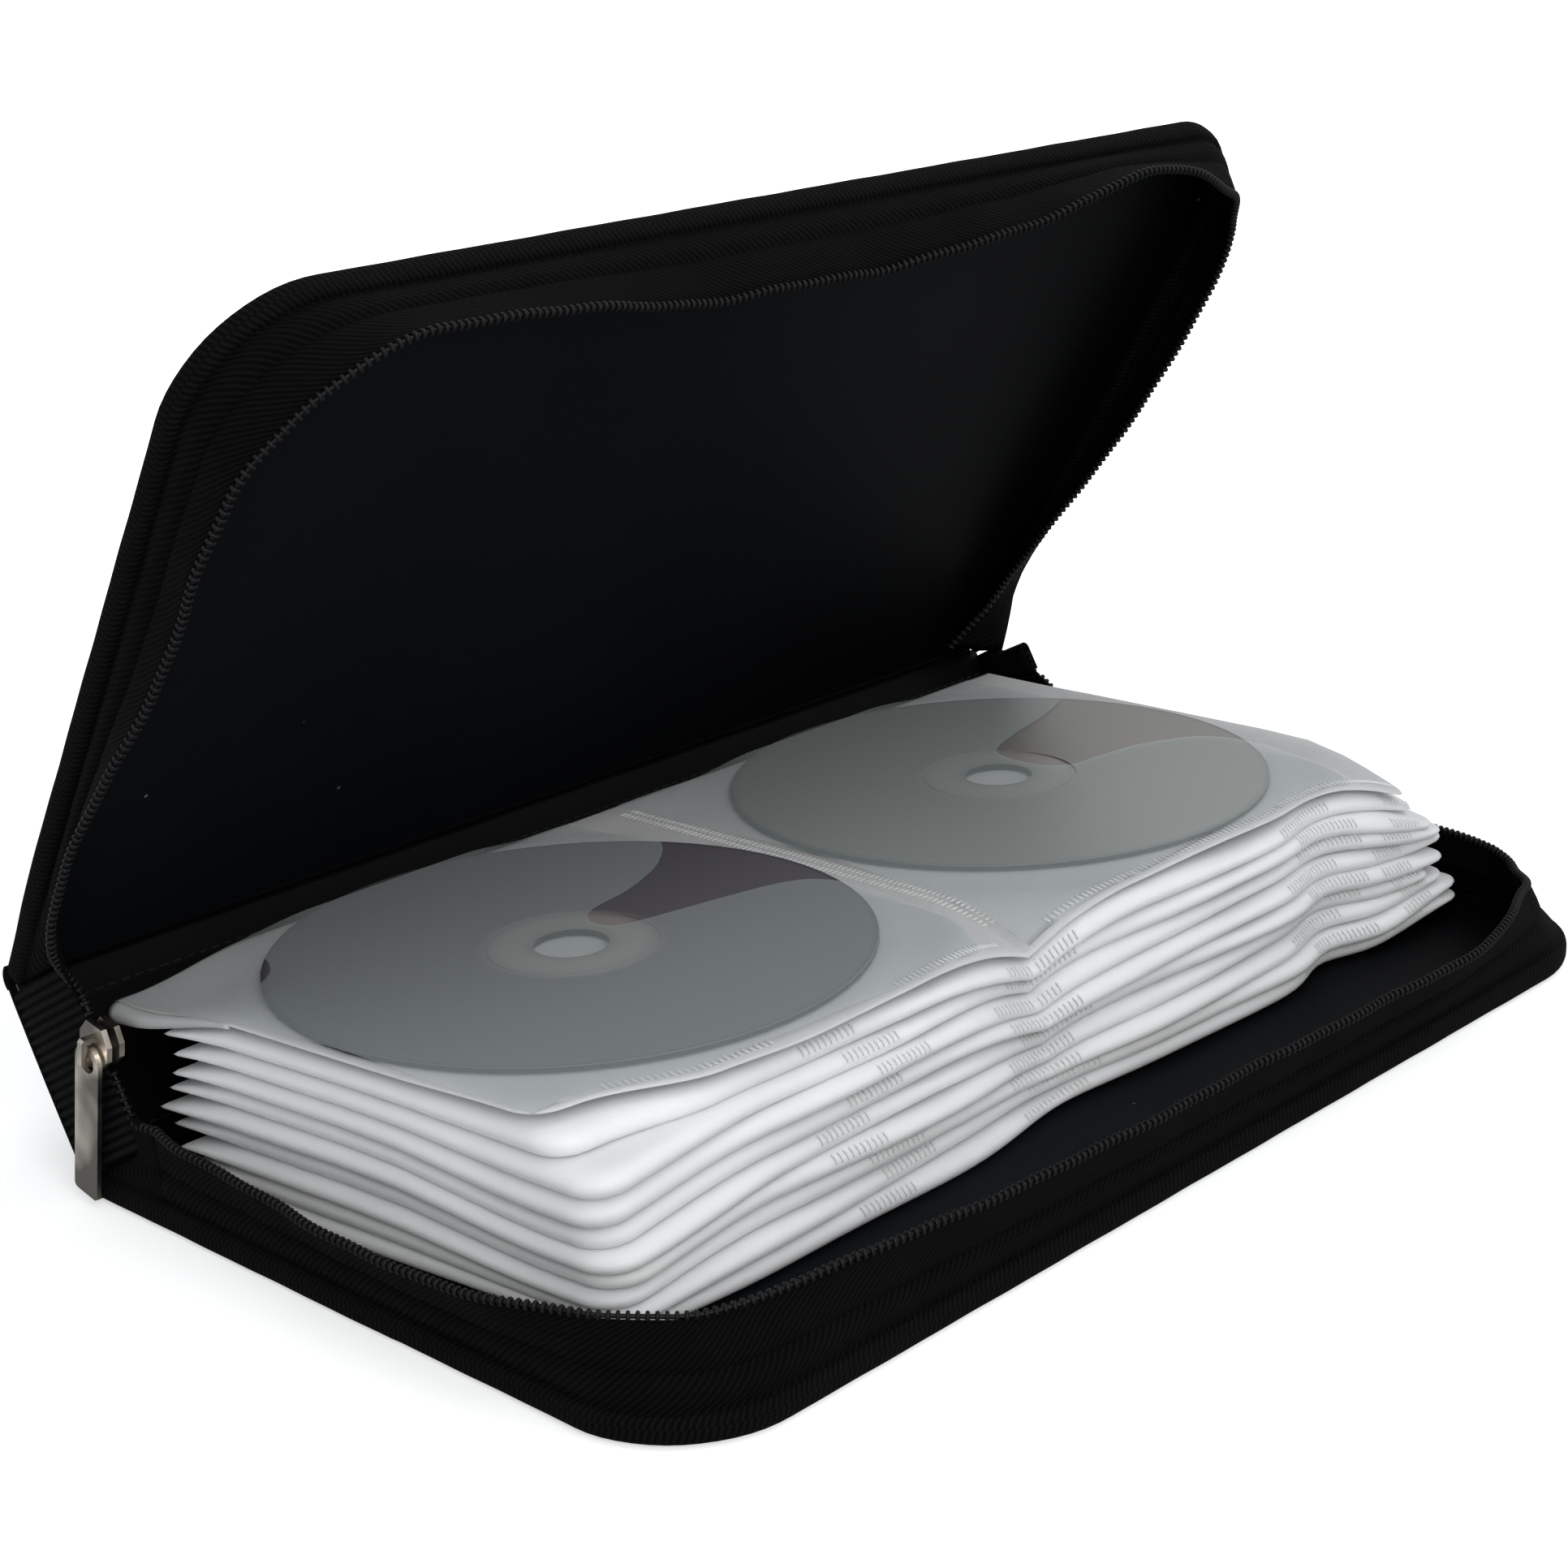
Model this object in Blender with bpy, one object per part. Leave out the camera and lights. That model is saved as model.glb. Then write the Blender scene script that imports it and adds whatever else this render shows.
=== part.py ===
"""Zip-round storage case for compact discs, lying open with its lid leaning over the sleeves.

The lower cover lies flat, the spine leans back from it and the upper cover stands on the
spine. X runs along the spine, the lower cover reaches from the spine towards -Y and Z is up.
The origin lies on the table, under the middle of the lower cover.
"""

import math

import bmesh
import bpy


MM = 0.001

# Driving sizes of the case. Its length follows from the two discs and what lies beside them.
DISC_DIAMETER = 120.0 * MM
DISC_GAP = 8.5 * MM
LEAF_MARGIN_LEFT = 8.5 * MM
LEAF_MARGIN_RIGHT = 10.0 * MM
SLEEVE_ROOM_LEFT = 6.0 * MM
SLEEVE_ROOM_RIGHT = 17.0 * MM
LEAF_LENGTH = LEAF_MARGIN_LEFT + 2 * DISC_DIAMETER + DISC_GAP + LEAF_MARGIN_RIGHT
CASE_LENGTH = SLEEVE_ROOM_LEFT + LEAF_LENGTH + SLEEVE_ROOM_RIGHT
COVER_WIDTH = 165.0 * MM
CORNER_RADIUS = 26.0 * MM
SPINE_HEIGHT = 42.0 * MM
SPINE_LEAN = 61.6
CLEARANCE = 0.3 * MM

# Layers of a cover, from the outer cloth inwards
SHELL_WALL = 1.0 * MM
SHELL_EDGE = 0.9 * MM
BOARD_THICKNESS = 1.7 * MM
LINING_THICKNESS = 0.6 * MM
CORNER_STEPS = 8

# Binding round the edge of a cover
BINDING_WIDTH = 2.2 * MM
BINDING_HEIGHT = 5.2 * MM
BINDING_SIDES = 8

# Zip tape and coil, which stand on the binding
TAPE_THICKNESS = 0.9 * MM
TAPE_CREASE_HEIGHT = 10.5 * MM
TAPE_CREASE_DEPTH = 1.2 * MM
TAPE_TOP = 19.6 * MM
TAPE_END_GAP = 0.9 * MM
TAPE_SLIDER_GAP = 2.5 * MM
COIL_SIZE = 2.3 * MM
COIL_PITCH = 4.6 * MM
COIL_NOTCH = 0.6 * MM

# Spine
SPINE_CLOTH = 1.0 * MM
SPINE_BOARD = 0.8 * MM
SPINE_STRIP = 0.6 * MM
SPINE_SIDE_MARGIN = 1.0 * MM
SPINE_RIDGE = 0.5 * MM
SPINE_RIDGE_RISE = 0.2 * MM

# Ribbed cloth that closes each end of the spine
GUSSET_DEPTH = 19.5 * MM
GUSSET_THICKNESS = 1.2 * MM
GUSSET_RIB = 0.4 * MM
GUSSET_RIB_PITCH = 2.4 * MM
GUSSET_END_MARGIN = 2.2 * MM
END_TAB_LENGTH = 16.0 * MM
END_TAB_WIDTH = 10.0 * MM
END_TAB_REAR = 1.0 * MM
END_TAB_RISE = 4.0 * MM
END_TAB_THICKNESS = 2.4 * MM

# Zip slider and its pull
SLIDER_LENGTH = 9.6 * MM
SLIDER_WIDTH = 9.0 * MM
SLIDER_PLATE = 1.2 * MM
SLIDER_THROAT = GUSSET_THICKNESS + 2 * CLEARANCE
SLIDER_NECK = 2.0 * MM
SLIDER_HEIGHT = 23.4 * MM
BRIDGE_BAR = 1.1 * MM
BRIDGE_WIDTH = 1.4 * MM
BRIDGE_ABOVE = 1.4 * MM
BRIDGE_BELOW = 2.5 * MM
PULL_LENGTH = 34.0 * MM
PULL_LEAN = 13.0
PULL_WIDTH = 7.6 * MM
PULL_THICKNESS = 1.0 * MM
PULL_EYE = 4.6 * MM
PULL_RIM = 1.3 * MM
PULL_SLACK = 0.4 * MM
PULL_CORNER = 1.0 * MM
BRIDGE_SLACK = 0.2 * MM
UNION_BITE = 0.2 * MM

# Discs and sleeves
DISC_HOLE = 15.0 * MM
DISC_THICKNESS = 1.2 * MM
DISC_SPINE_GAP = 1.0 * MM
DISC_SEGMENTS = 64
HUB_RING = 33.0 * MM
HUB_RING_WIDTH = 1.0 * MM
HUB_RING_DEPTH = 0.3 * MM
DISC_BEVEL = 0.2 * MM
LEAF_GAPS = 13
LEAF_COLUMNS = 14
LEAF_ROWS = 7
LEAF_NOTCH = 4.0 * MM
LEAF_CORNER = 22.0 * MM
SHEET_THICKNESS = 0.6 * MM
FILM_THICKNESS = 0.3 * MM
LID_HEADROOM = 0.9 * MM
STACK_SHIFT_LEFT = 5.0 * MM
STACK_SHIFT_RIGHT = 9.0 * MM
STACK_SHIFT_REAR = 18.0 * MM
STACK_SHIFT_FRONT = 7.0 * MM
LEAF_MARGIN_FRONT = 6.0 * MM
LEAF_REAR = 2.0 * MM
LEAF_SAG = 8.0 * MM
LEAF_SAG_START = 13.0 * MM
LEAF_SAG_REACH = 26.0 * MM
LEAF_PINCH = 4.0 * MM
LEAF_PINCH_WIDTH = 22.0 * MM
LEAF_LEFT = SLEEVE_ROOM_LEFT - 0.5 * CASE_LENGTH
LEAF_RIGHT = LEAF_LEFT + LEAF_LENGTH
LEAF_FRONT = DISC_SPINE_GAP + DISC_DIAMETER + LEAF_MARGIN_FRONT
DISC_LEFT_X = LEAF_LEFT + LEAF_MARGIN_LEFT + 0.5 * DISC_DIAMETER
DISC_RIGHT_X = DISC_LEFT_X + DISC_DIAMETER + DISC_GAP
SEAM_X = 0.5 * (DISC_LEFT_X + DISC_RIGHT_X)
POCKET_MARGIN = 2.6 * MM
FILM_COLUMNS = 10

# The film's free edge stops short of the disc's rim. The notch in it runs towards the hole:
# its half widths at its root and at the free edge, and the round of its corners there.
FILM_SHORT = 3.0 * MM
NOTCH_ROOT_GAP = 6.5 * MM
NOTCH_ROOT_HALF = 5.2 * MM
NOTCH_MOUTH_HALF = 21.0 * MM
NOTCH_ROUND = 7.0 * MM
NOTCH_BOW = 1.2 * MM
NOTCH_TURN = 8.0

# Sizes that follow from those above
BOARD_BOTTOM = SHELL_WALL + CLEARANCE
LINING_BOTTOM = BOARD_BOTTOM + BOARD_THICKNESS + CLEARANCE
FOLD_HEIGHT = LINING_BOTTOM + LINING_THICKNESS
SHELL_INSET = BINDING_WIDTH + CLEARANCE
SHELL_LIP = FOLD_HEIGHT
COIL_CENTRE = TAPE_TOP + CLEARANCE + 0.5 * COIL_SIZE
SPINE_INNER = CLEARANCE
FOLD_Y = 0.5 * COVER_WIDTH
GUSSET_REAR = SPINE_INNER - CLEARANCE - SPINE_RIDGE_RISE
GUSSET_FRONT = GUSSET_REAR - GUSSET_DEPTH
CLOSED_TURN = math.radians(90.0 - SPINE_LEAN)
SLIDER_TURN = CLOSED_TURN + math.radians(PULL_LEAN)
SLIDER_SPREAD = math.cos(SLIDER_TURN) + math.sin(SLIDER_TURN)
SLIDER_Y = GUSSET_FRONT - CLEARANCE - 0.5 * SLIDER_NECK * SLIDER_SPREAD
SLIDER_HALF_Z = 0.5 * (SLIDER_LENGTH * math.cos(SLIDER_TURN) + SLIDER_WIDTH * math.sin(SLIDER_TURN))
GUSSET_COIL_Y = GUSSET_FRONT - CLEARANCE - 0.5 * COIL_SIZE
TAPE_START_LOW = TAPE_END_GAP + 0.5 * COIL_SIZE - GUSSET_COIL_Y
TAPE_START_HIGH = TAPE_SLIDER_GAP - SLIDER_Y + 0.5 * SLIDER_WIDTH * SLIDER_SPREAD
FILM_TOP = FOLD_HEIGHT + SPINE_HEIGHT - LID_HEADROOM
FILM_BOTTOM = FILM_TOP - FILM_THICKNESS
DISC_BOTTOM = FILM_BOTTOM - CLEARANCE - DISC_THICKNESS
SHEET_TOP = DISC_BOTTOM - CLEARANCE
SHEET_BOTTOM = SHEET_TOP - SHEET_THICKNESS
BLOCK_TOP = SHEET_BOTTOM - CLEARANCE
BLOCK_BOTTOM = FOLD_HEIGHT + CLEARANCE
DISC_Y = -(DISC_SPINE_GAP + 0.5 * DISC_DIAMETER)


def clear_scene():
    for item in list(bpy.data.objects):
        bpy.data.objects.remove(item, do_unlink=True)


def material(name, colour, roughness, metallic=0.0):
    made = bpy.data.materials.new(name)
    made.use_nodes = True
    shader = made.node_tree.nodes["Principled BSDF"]
    shader.inputs["Base Color"].default_value = (*colour, 1.0)
    shader.inputs["Roughness"].default_value = roughness
    shader.inputs["Metallic"].default_value = metallic
    return made


def pivot(name, location, turn=0.0, parent=None):
    """An empty on a joint's axis, turned about X."""
    empty = bpy.data.objects.new(name, None)
    bpy.context.scene.collection.objects.link(empty)
    empty.location = location
    empty.rotation_euler = (turn, 0.0, 0.0)
    empty.parent = parent
    return empty


def add_mesh(name, vertices, faces, finish, parent=None, smooth=True):
    """One closed solid from its vertices and faces, with its faces pointing out."""
    mesh = bpy.data.meshes.new(name)
    mesh.from_pydata([tuple(v) for v in vertices], [], faces)
    shape = bmesh.new()
    shape.from_mesh(mesh)
    bmesh.ops.recalc_face_normals(shape, faces=shape.faces)
    if shape.calc_volume(signed=True) < 0:
        bmesh.ops.reverse_faces(shape, faces=shape.faces)
    shape.to_mesh(mesh)
    shape.free()
    mesh.materials.append(finish)
    if smooth:
        mesh.shade_smooth()
        mesh.set_sharp_from_angle(angle=math.radians(35))
    thing = bpy.data.objects.new(name, mesh)
    bpy.context.scene.collection.objects.link(thing)
    thing.parent = parent
    return thing


def loft(loops):
    """Vertices and faces of a solid through closed loops with as many points each."""
    count = len(loops[0])
    vertices = [point for loop in loops for point in loop]
    faces = [list(range(count))[::-1]]
    for row in range(len(loops) - 1):
        for k in range(count):
            after = (k + 1) % count
            low = row * count
            high = low + count
            faces.append([low + k, low + after, high + after, high + k])
    faces.append(list(range((len(loops) - 1) * count, len(loops) * count)))
    return vertices, faces


def cut(target, cutter, operation="DIFFERENCE"):
    """Apply a Boolean to the target and delete the cutter."""
    tool = target.modifiers.new(cutter.name, "BOOLEAN")
    tool.operation = operation
    tool.object = cutter
    bpy.context.view_layer.update()
    evaluated = target.evaluated_get(bpy.context.evaluated_depsgraph_get())
    result = bpy.data.meshes.new_from_object(evaluated)
    target.modifiers.remove(tool)
    target.data = result
    bpy.data.objects.remove(cutter, do_unlink=True)


def arc(centre, radius, start, end, steps):
    """Points on an arc from start to end degrees, both ends included."""
    angles = [math.radians(start + (end - start) * k / steps) for k in range(steps + 1)]
    return [(centre[0] + radius * math.cos(a), centre[1] + radius * math.sin(a)) for a in angles]


def cover_edge(inset, start=0.0):
    """The cover's edge from the fold round the front and back, inset from its outside."""
    half = 0.5 * CASE_LENGTH - inset
    front = -(COVER_WIDTH - inset)
    radius = CORNER_RADIUS - inset
    left = arc((-half + radius, front + radius), radius, 180.0, 270.0, CORNER_STEPS)
    right = arc((half - radius, front + radius), radius, 270.0, 360.0, CORNER_STEPS)
    return [(-half, -start)] + left + right + [(half, -start)]


def cover_point(plan, height, side):
    """A point of a cover in its fold's frame. side is 1 on the lower cover, -1 on the upper."""
    return (plan[0], plan[1], side * (height - FOLD_HEIGHT))


def cover_shell(name, side, parent, finish):
    """Shallow tray of woven cloth: its floor, a rounded lower edge and a low lip all round."""
    rear_inner = CLEARANCE + SHELL_WALL
    outer = [(SHELL_INSET + SHELL_EDGE, 0.0), (SHELL_INSET, SHELL_EDGE), (SHELL_INSET, SHELL_LIP)]
    loops = [[cover_point(p, h, side) for p in cover_edge(inset, CLEARANCE)] for inset, h in outer]
    inner_edge = cover_edge(SHELL_INSET + SHELL_WALL, rear_inner)
    for height in (SHELL_LIP, SHELL_WALL):
        loops.append([cover_point(p, height, side) for p in inner_edge])
    return add_mesh(name, *loft(loops), finish, parent)


def cover_layer(name, bottom, thickness, side, parent, finish):
    """A flat sheet inside the shell's lip."""
    inset = SHELL_INSET + SHELL_WALL + CLEARANCE
    rear = 2 * CLEARANCE + SHELL_WALL
    edge = cover_edge(inset, rear)
    loops = [[cover_point(p, h, side) for p in edge] for h in (bottom, bottom + thickness)]
    return add_mesh(name, *loft(loops), finish, parent)


def sweep_edge(profiles, side):
    """Loops of a bar along a cover's edge. Each profile gives its corners for one station."""
    return [[cover_point(plan, height, side) for plan, height in ring] for ring in profiles]


def edge_rings(section, starts):
    """Rings of a section along the edge: section is (inset, height), starts its first v."""
    edges = [cover_edge(inset, start) for (inset, _), start in zip(section, starts)]
    count = len(edges[0])
    return [[(edges[k][row], section[k][1]) for k in range(len(section))] for row in range(count)]


def cover_binding(name, side, parent, finish):
    """Rounded binding that wraps the outside edge of the cover."""
    half_width = 0.5 * BINDING_WIDTH
    half_height = 0.5 * (BINDING_HEIGHT - CLEARANCE)
    middle = CLEARANCE + half_height
    section = []
    for k in range(BINDING_SIDES):
        angle = 2 * math.pi * (k + 0.5) / BINDING_SIDES
        section.append((half_width * (1 - math.cos(angle) / math.cos(math.pi / BINDING_SIDES)),
                        middle + half_height * math.sin(angle) / math.cos(math.pi / BINDING_SIDES)))
    rings = edge_rings(section, [CLEARANCE] * len(section))
    return add_mesh(name, *loft(sweep_edge(rings, side)), finish, parent)


def zip_tape(name, side, parent, finish):
    """Standing wall of zip tape with a lengthwise crease, its ends cut on the slant."""
    bottom = BINDING_HEIGHT + CLEARANCE
    outer_inset = 0.5 * (BINDING_WIDTH - TAPE_THICKNESS)
    crease_inset = outer_inset + TAPE_CREASE_DEPTH
    heights = (bottom, TAPE_CREASE_HEIGHT, TAPE_TOP)
    outside = [(outer_inset, heights[0]), (crease_inset, heights[1]), (outer_inset, heights[2])]
    inside = [(inset + TAPE_THICKNESS, height) for inset, height in reversed(outside)]
    section = outside + inside
    slant = (TAPE_START_HIGH - TAPE_START_LOW) / (TAPE_TOP - bottom)
    starts = [TAPE_START_LOW + slant * (height - bottom) for _, height in section]
    return add_mesh(name, *loft(sweep_edge(edge_rings(section, starts), side)), finish, parent)


def along(points, spacing):
    """Points at even spacing along a line of plan points, with each point's direction."""
    lengths = [0.0]
    for a, b in zip(points, points[1:]):
        lengths.append(lengths[-1] + math.dist(a, b))
    count = max(2, round(lengths[-1] / spacing))
    placed = []
    segment = 0
    for k in range(count + 1):
        reach = lengths[-1] * k / count
        while segment < len(points) - 2 and lengths[segment + 1] < reach:
            segment += 1
        a, b = points[segment], points[segment + 1]
        share = (reach - lengths[segment]) / (lengths[segment + 1] - lengths[segment])
        spot = (a[0] + (b[0] - a[0]) * share, a[1] + (b[1] - a[1]) * share)
        step = math.dist(a, b)
        placed.append((spot, ((b[0] - a[0]) / step, (b[1] - a[1]) / step)))
    return placed


def zip_coil(name, side, parent, finish):
    """The coil of the zip as one ribbed strip: a full ring and a notched ring for each tooth."""
    centre_inset = 0.5 * BINDING_WIDTH
    spots = along(cover_edge(centre_inset, TAPE_START_HIGH), 0.5 * COIL_PITCH)
    loops = []
    for row, (spot, way) in enumerate(spots):
        half = 0.5 * COIL_SIZE - (COIL_NOTCH if row % 2 else 0.0)
        across = (-way[1], way[0])
        ring = []
        for a, b in ((1, 0), (0, 1), (-1, 0), (0, -1)):
            plan = (spot[0] + across[0] * half * a, spot[1] + across[1] * half * a)
            ring.append(cover_point(plan, COIL_CENTRE + half * b, side))
        loops.append(ring)
    return add_mesh(name, *loft(loops), finish, parent, smooth=False)


def make_cover(prefix, side, parent, finishes):
    cover_shell(prefix + "_cover_shell", side, parent, finishes["nylon"])
    cover_layer(prefix + "_cover_board", BOARD_BOTTOM, BOARD_THICKNESS, side, parent,
                finishes["board"])
    cover_layer(prefix + "_cover_lining", LINING_BOTTOM, LINING_THICKNESS, side, parent,
                finishes["lining"])
    cover_binding(prefix + "_edge_binding", side, parent, finishes["binding"])
    zip_tape(prefix + "_zip_tape", side, parent, finishes["tape"])
    zip_coil(prefix + "_zip_coil", side, parent, finishes["coil"])


def spine_sheet(name, near, thickness, parent, finish, ridges=()):
    """A sheet of the spine between the folds, with raised lines where it is stitched."""
    half = 0.5 * CASE_LENGTH - SPINE_SIDE_MARGIN
    low = CLEARANCE
    high = SPINE_HEIGHT - CLEARANCE
    section = [(near, low)]
    for height in ridges:
        section += [(near, height - SPINE_RIDGE), (near - SPINE_RIDGE_RISE, height),
                    (near, height + SPINE_RIDGE)]
    section += [(near, high), (near + thickness, high), (near + thickness, low)]
    loops = [[(x, y, z) for y, z in section] for x in (-half, half)]
    return add_mesh(name, *loft(loops), finish, parent, smooth=False)


def make_spine(parent, finishes):
    board_near = SPINE_INNER + SPINE_STRIP + CLEARANCE
    cloth_near = board_near + SPINE_BOARD + CLEARANCE
    stitches = (0.16 * SPINE_HEIGHT, 0.84 * SPINE_HEIGHT)
    spine_sheet("spine_inner_strip", SPINE_INNER, SPINE_STRIP, parent, finishes["strip"], stitches)
    spine_sheet("spine_board", board_near, SPINE_BOARD, parent, finishes["board"])
    spine_sheet("spine_shell", cloth_near, SPINE_CLOTH, parent, finishes["nylon"])


def end_gusset(name, end, parent, finish):
    """Ribbed cloth across one end of the spine. end is -1 on the left and 1 on the right."""
    outer = 0.5 * CASE_LENGTH - 0.5 * (BINDING_WIDTH - GUSSET_THICKNESS)
    inner = outer - GUSSET_THICKNESS
    low = GUSSET_END_MARGIN
    high = SPINE_HEIGHT - GUSSET_END_MARGIN
    ribs = round((high - low) / GUSSET_RIB_PITCH)
    pitch = (high - low) / ribs
    section = [(inner, high), (inner, low)]
    for k in range(ribs):
        section.append((outer - GUSSET_RIB, low + pitch * k))
        section.append((outer, low + pitch * (k + 0.5)))
    section.append((outer - GUSSET_RIB, high))
    loops = [[(end * x, y, z) for x, z in section] for y in (GUSSET_REAR, GUSSET_FRONT)]
    return add_mesh(name, *loft(loops), finish, parent, smooth=False)


def gusset_coil(name, end, low, high, parent, finish):
    """Coil of the zip on a gusset's free edge, between two heights of the spine."""
    x = end * (0.5 * CASE_LENGTH - 0.5 * BINDING_WIDTH)
    count = 2 * max(1, round((high - low) / COIL_PITCH))
    loops = []
    for row in range(count + 1):
        half = 0.5 * COIL_SIZE - (COIL_NOTCH if row % 2 else 0.0)
        z = low + (high - low) * row / count
        loops.append([(x + half * a, GUSSET_COIL_Y + half * b, z)
                      for a, b in ((1, 0), (0, 1), (-1, 0), (0, -1))])
    return add_mesh(name, *loft(loops), finish, parent, smooth=False)


def end_tab(parent, finish):
    """Folded end of the zip tape, sewn outside the right gusset, where the zip begins."""
    inner = 0.5 * CASE_LENGTH + CLEARANCE
    outer = inner + END_TAB_THICKNESS
    top = SPINE_HEIGHT + END_TAB_RISE
    low = top - END_TAB_LENGTH
    fold = 0.5 * END_TAB_THICKNESS
    crown = arc((0.5 * (outer + inner), top - fold), fold, 0.0, 180.0, 6)
    section = [(inner, low), (outer, low)] + crown
    loops = [[(x, y, z) for x, z in section] for y in (END_TAB_REAR, END_TAB_REAR - END_TAB_WIDTH)]
    return add_mesh("zip_end_tab", *loft(loops), finish, parent)


def extrude_x(outline, near, far):
    """Loops of a plate whose outline (y, z) is extruded from x = near to x = far."""
    return [[(x, y, z) for y, z in outline] for x in (near, far)]


def slider_outline(scale):
    """Shield: a straight crown, sides that spread and a blunt point at the foot."""
    half = 0.5 * SLIDER_WIDTH * scale
    reach = 0.5 * SLIDER_LENGTH * scale
    return [(-0.55 * half, reach), (0.55 * half, reach), (half, 0.35 * reach), (half, -0.3 * reach),
            (0.4 * half, -reach), (-0.4 * half, -reach), (-half, -0.3 * reach), (-half, 0.35 * reach)]


def make_slider(parent, spot, finish):
    """Slider body: two shield plates on a neck, and the bridge that holds the pull."""
    outer_face = -0.5 * SLIDER_THROAT - SLIDER_PLATE
    body = add_mesh("zip_slider", *loft(extrude_x(slider_outline(1.0), outer_face,
                                                  -0.5 * SLIDER_THROAT)), finish, parent)
    overlap = UNION_BITE
    neck_half = 0.5 * SLIDER_NECK
    neck_outline = [(-neck_half, -neck_half), (neck_half, -neck_half),
                    (neck_half, neck_half), (-neck_half, neck_half)]
    reach = 0.5 * SLIDER_THROAT + overlap
    neck = add_mesh("slider_neck", *loft(extrude_x(neck_outline, -reach, reach)), finish, parent)
    inner = add_mesh("slider_inner", *loft(extrude_x(slider_outline(0.94), 0.5 * SLIDER_THROAT,
                                                     0.5 * SLIDER_THROAT + SLIDER_PLATE)),
                     finish, parent)
    cut(body, neck, "UNION")
    cut(body, inner, "UNION")
    rise = PULL_THICKNESS + 2 * PULL_SLACK + BRIDGE_SLACK
    low = -BRIDGE_BELOW
    high = BRIDGE_ABOVE
    root = outer_face + overlap
    under = outer_face - rise
    over = under - BRIDGE_BAR
    corner = 0.5 * BRIDGE_BAR
    arch = [(root, high + BRIDGE_BAR), (over + corner, high + BRIDGE_BAR), (over, high + corner),
            (over, low - corner), (over + corner, low - BRIDGE_BAR), (root, low - BRIDGE_BAR),
            (root, low), (under, low), (under, high), (root, high)]
    loops = [[(x, y, z) for x, z in arch] for y in (-0.5 * BRIDGE_WIDTH, 0.5 * BRIDGE_WIDTH)]
    bridge = add_mesh("slider_bridge", *loft(loops), finish, parent)
    cut(body, bridge, "UNION")
    body.location = spot
    body.rotation_euler = (SLIDER_TURN, 0.0, 0.0)
    return body


def pull_outline():
    """Pull tab in its own plane: round at the eye, straight sides, small corners at the foot."""
    half = 0.5 * PULL_WIDTH
    top = PULL_RIM * 0.5
    foot = top - PULL_LENGTH
    corner = PULL_CORNER
    crown = arc((0.0, top - half), half, 0.0, 180.0, 14)
    left = arc((-half + corner, foot + corner), corner, 180.0, 270.0, 3)
    right = arc((half - corner, foot + corner), corner, 270.0, 360.0, 3)
    return crown + left + right


def make_pull(parent, finish):
    """Flat pull tab with a round eye, hanging from the bridge."""
    near, far = -0.5 * PULL_THICKNESS, 0.5 * PULL_THICKNESS
    tab = add_mesh("zip_pull_tab", *loft(extrude_x(pull_outline(), near, far)), finish, parent)
    radius = 0.5 * PULL_EYE
    hole = arc((0.0, -0.5 * PULL_RIM - radius), radius, 0.0, 345.0, 23)
    eye = add_mesh("pull_eye", *loft(extrude_x(hole, 2 * near, 2 * far)), finish, parent)
    cut(tab, eye)
    return tab


def smooth_step(value):
    value = min(1.0, max(0.0, value))
    return value * value * (3 - 2 * value)


def leaf_sag(x, y):
    """How far a loaded leaf sinks beyond the rim of the nearer disc."""
    away = min(math.dist((x, y), (cx, DISC_Y)) for cx in (DISC_LEFT_X, DISC_RIGHT_X))
    beyond = away - 0.5 * DISC_DIAMETER - LEAF_SAG_START
    return LEAF_SAG * smooth_step(beyond / LEAF_SAG_REACH)


def leaf_span(level):
    """Left, right, rear and front of the sleeves at a level from 0, the lowest, to 1."""
    def mix(low, high):
        return low + (high - low) * level
    return (mix(LEAF_LEFT + STACK_SHIFT_LEFT, LEAF_LEFT),
            mix(LEAF_RIGHT + STACK_SHIFT_RIGHT, LEAF_RIGHT),
            -mix(LEAF_REAR + STACK_SHIFT_REAR, LEAF_REAR),
            -mix(LEAF_FRONT + STACK_SHIFT_FRONT, LEAF_FRONT))


def leaf_columns(left, right, steps):
    """X of the columns of a leaf: close together in the rounded corners."""
    corner = [LEAF_CORNER * (1 - math.cos(math.radians(90 * k / 4))) for k in range(4)]
    inner = right - left - 2 * LEAF_CORNER
    middle = [LEAF_CORNER + inner * k / steps for k in range(steps + 1)]
    mirrored = [right - left - c for c in reversed(corner)]
    return [left + c for c in corner + middle + mirrored]


def leaf_front(x, left, right, front):
    """Y of the leaf's front edge: rounded corners, drawn in where the pockets are welded."""
    edge = min(x - left, right - x)
    cornered = 0.0
    if edge < LEAF_CORNER:
        cornered = LEAF_CORNER - math.sqrt(max(0.0, LEAF_CORNER ** 2 - (LEAF_CORNER - edge) ** 2))
    pinch = LEAF_PINCH * math.exp(-((x - SEAM_X) / LEAF_PINCH_WIDTH) ** 2)
    return front + cornered + pinch


def leaf_grid(level, inset, height):
    """Rows of points over a leaf, from its rear to its front, at a height less its sag."""
    left, right, rear, front = leaf_span(level)
    left, right, front = left + inset, right - inset, front + inset
    columns = leaf_columns(left, right, LEAF_COLUMNS)
    rows = []
    for row in range(LEAF_ROWS + 1):
        share = row / LEAF_ROWS
        line = []
        for x in columns:
            y = rear + (leaf_front(x, left, right, front) - rear) * share
            line.append((x, y, height - level * leaf_sag(x, y)))
        rows.append(line)
    return rows


def rim_of(rows):
    """The border of a grid as one closed loop of its points."""
    front = rows[-1]
    sides_right = [row[-1] for row in rows[-2:0:-1]]
    sides_left = [row[0] for row in rows[1:-1]]
    return list(front) + sides_right + list(reversed(rows[0])) + sides_left


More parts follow.
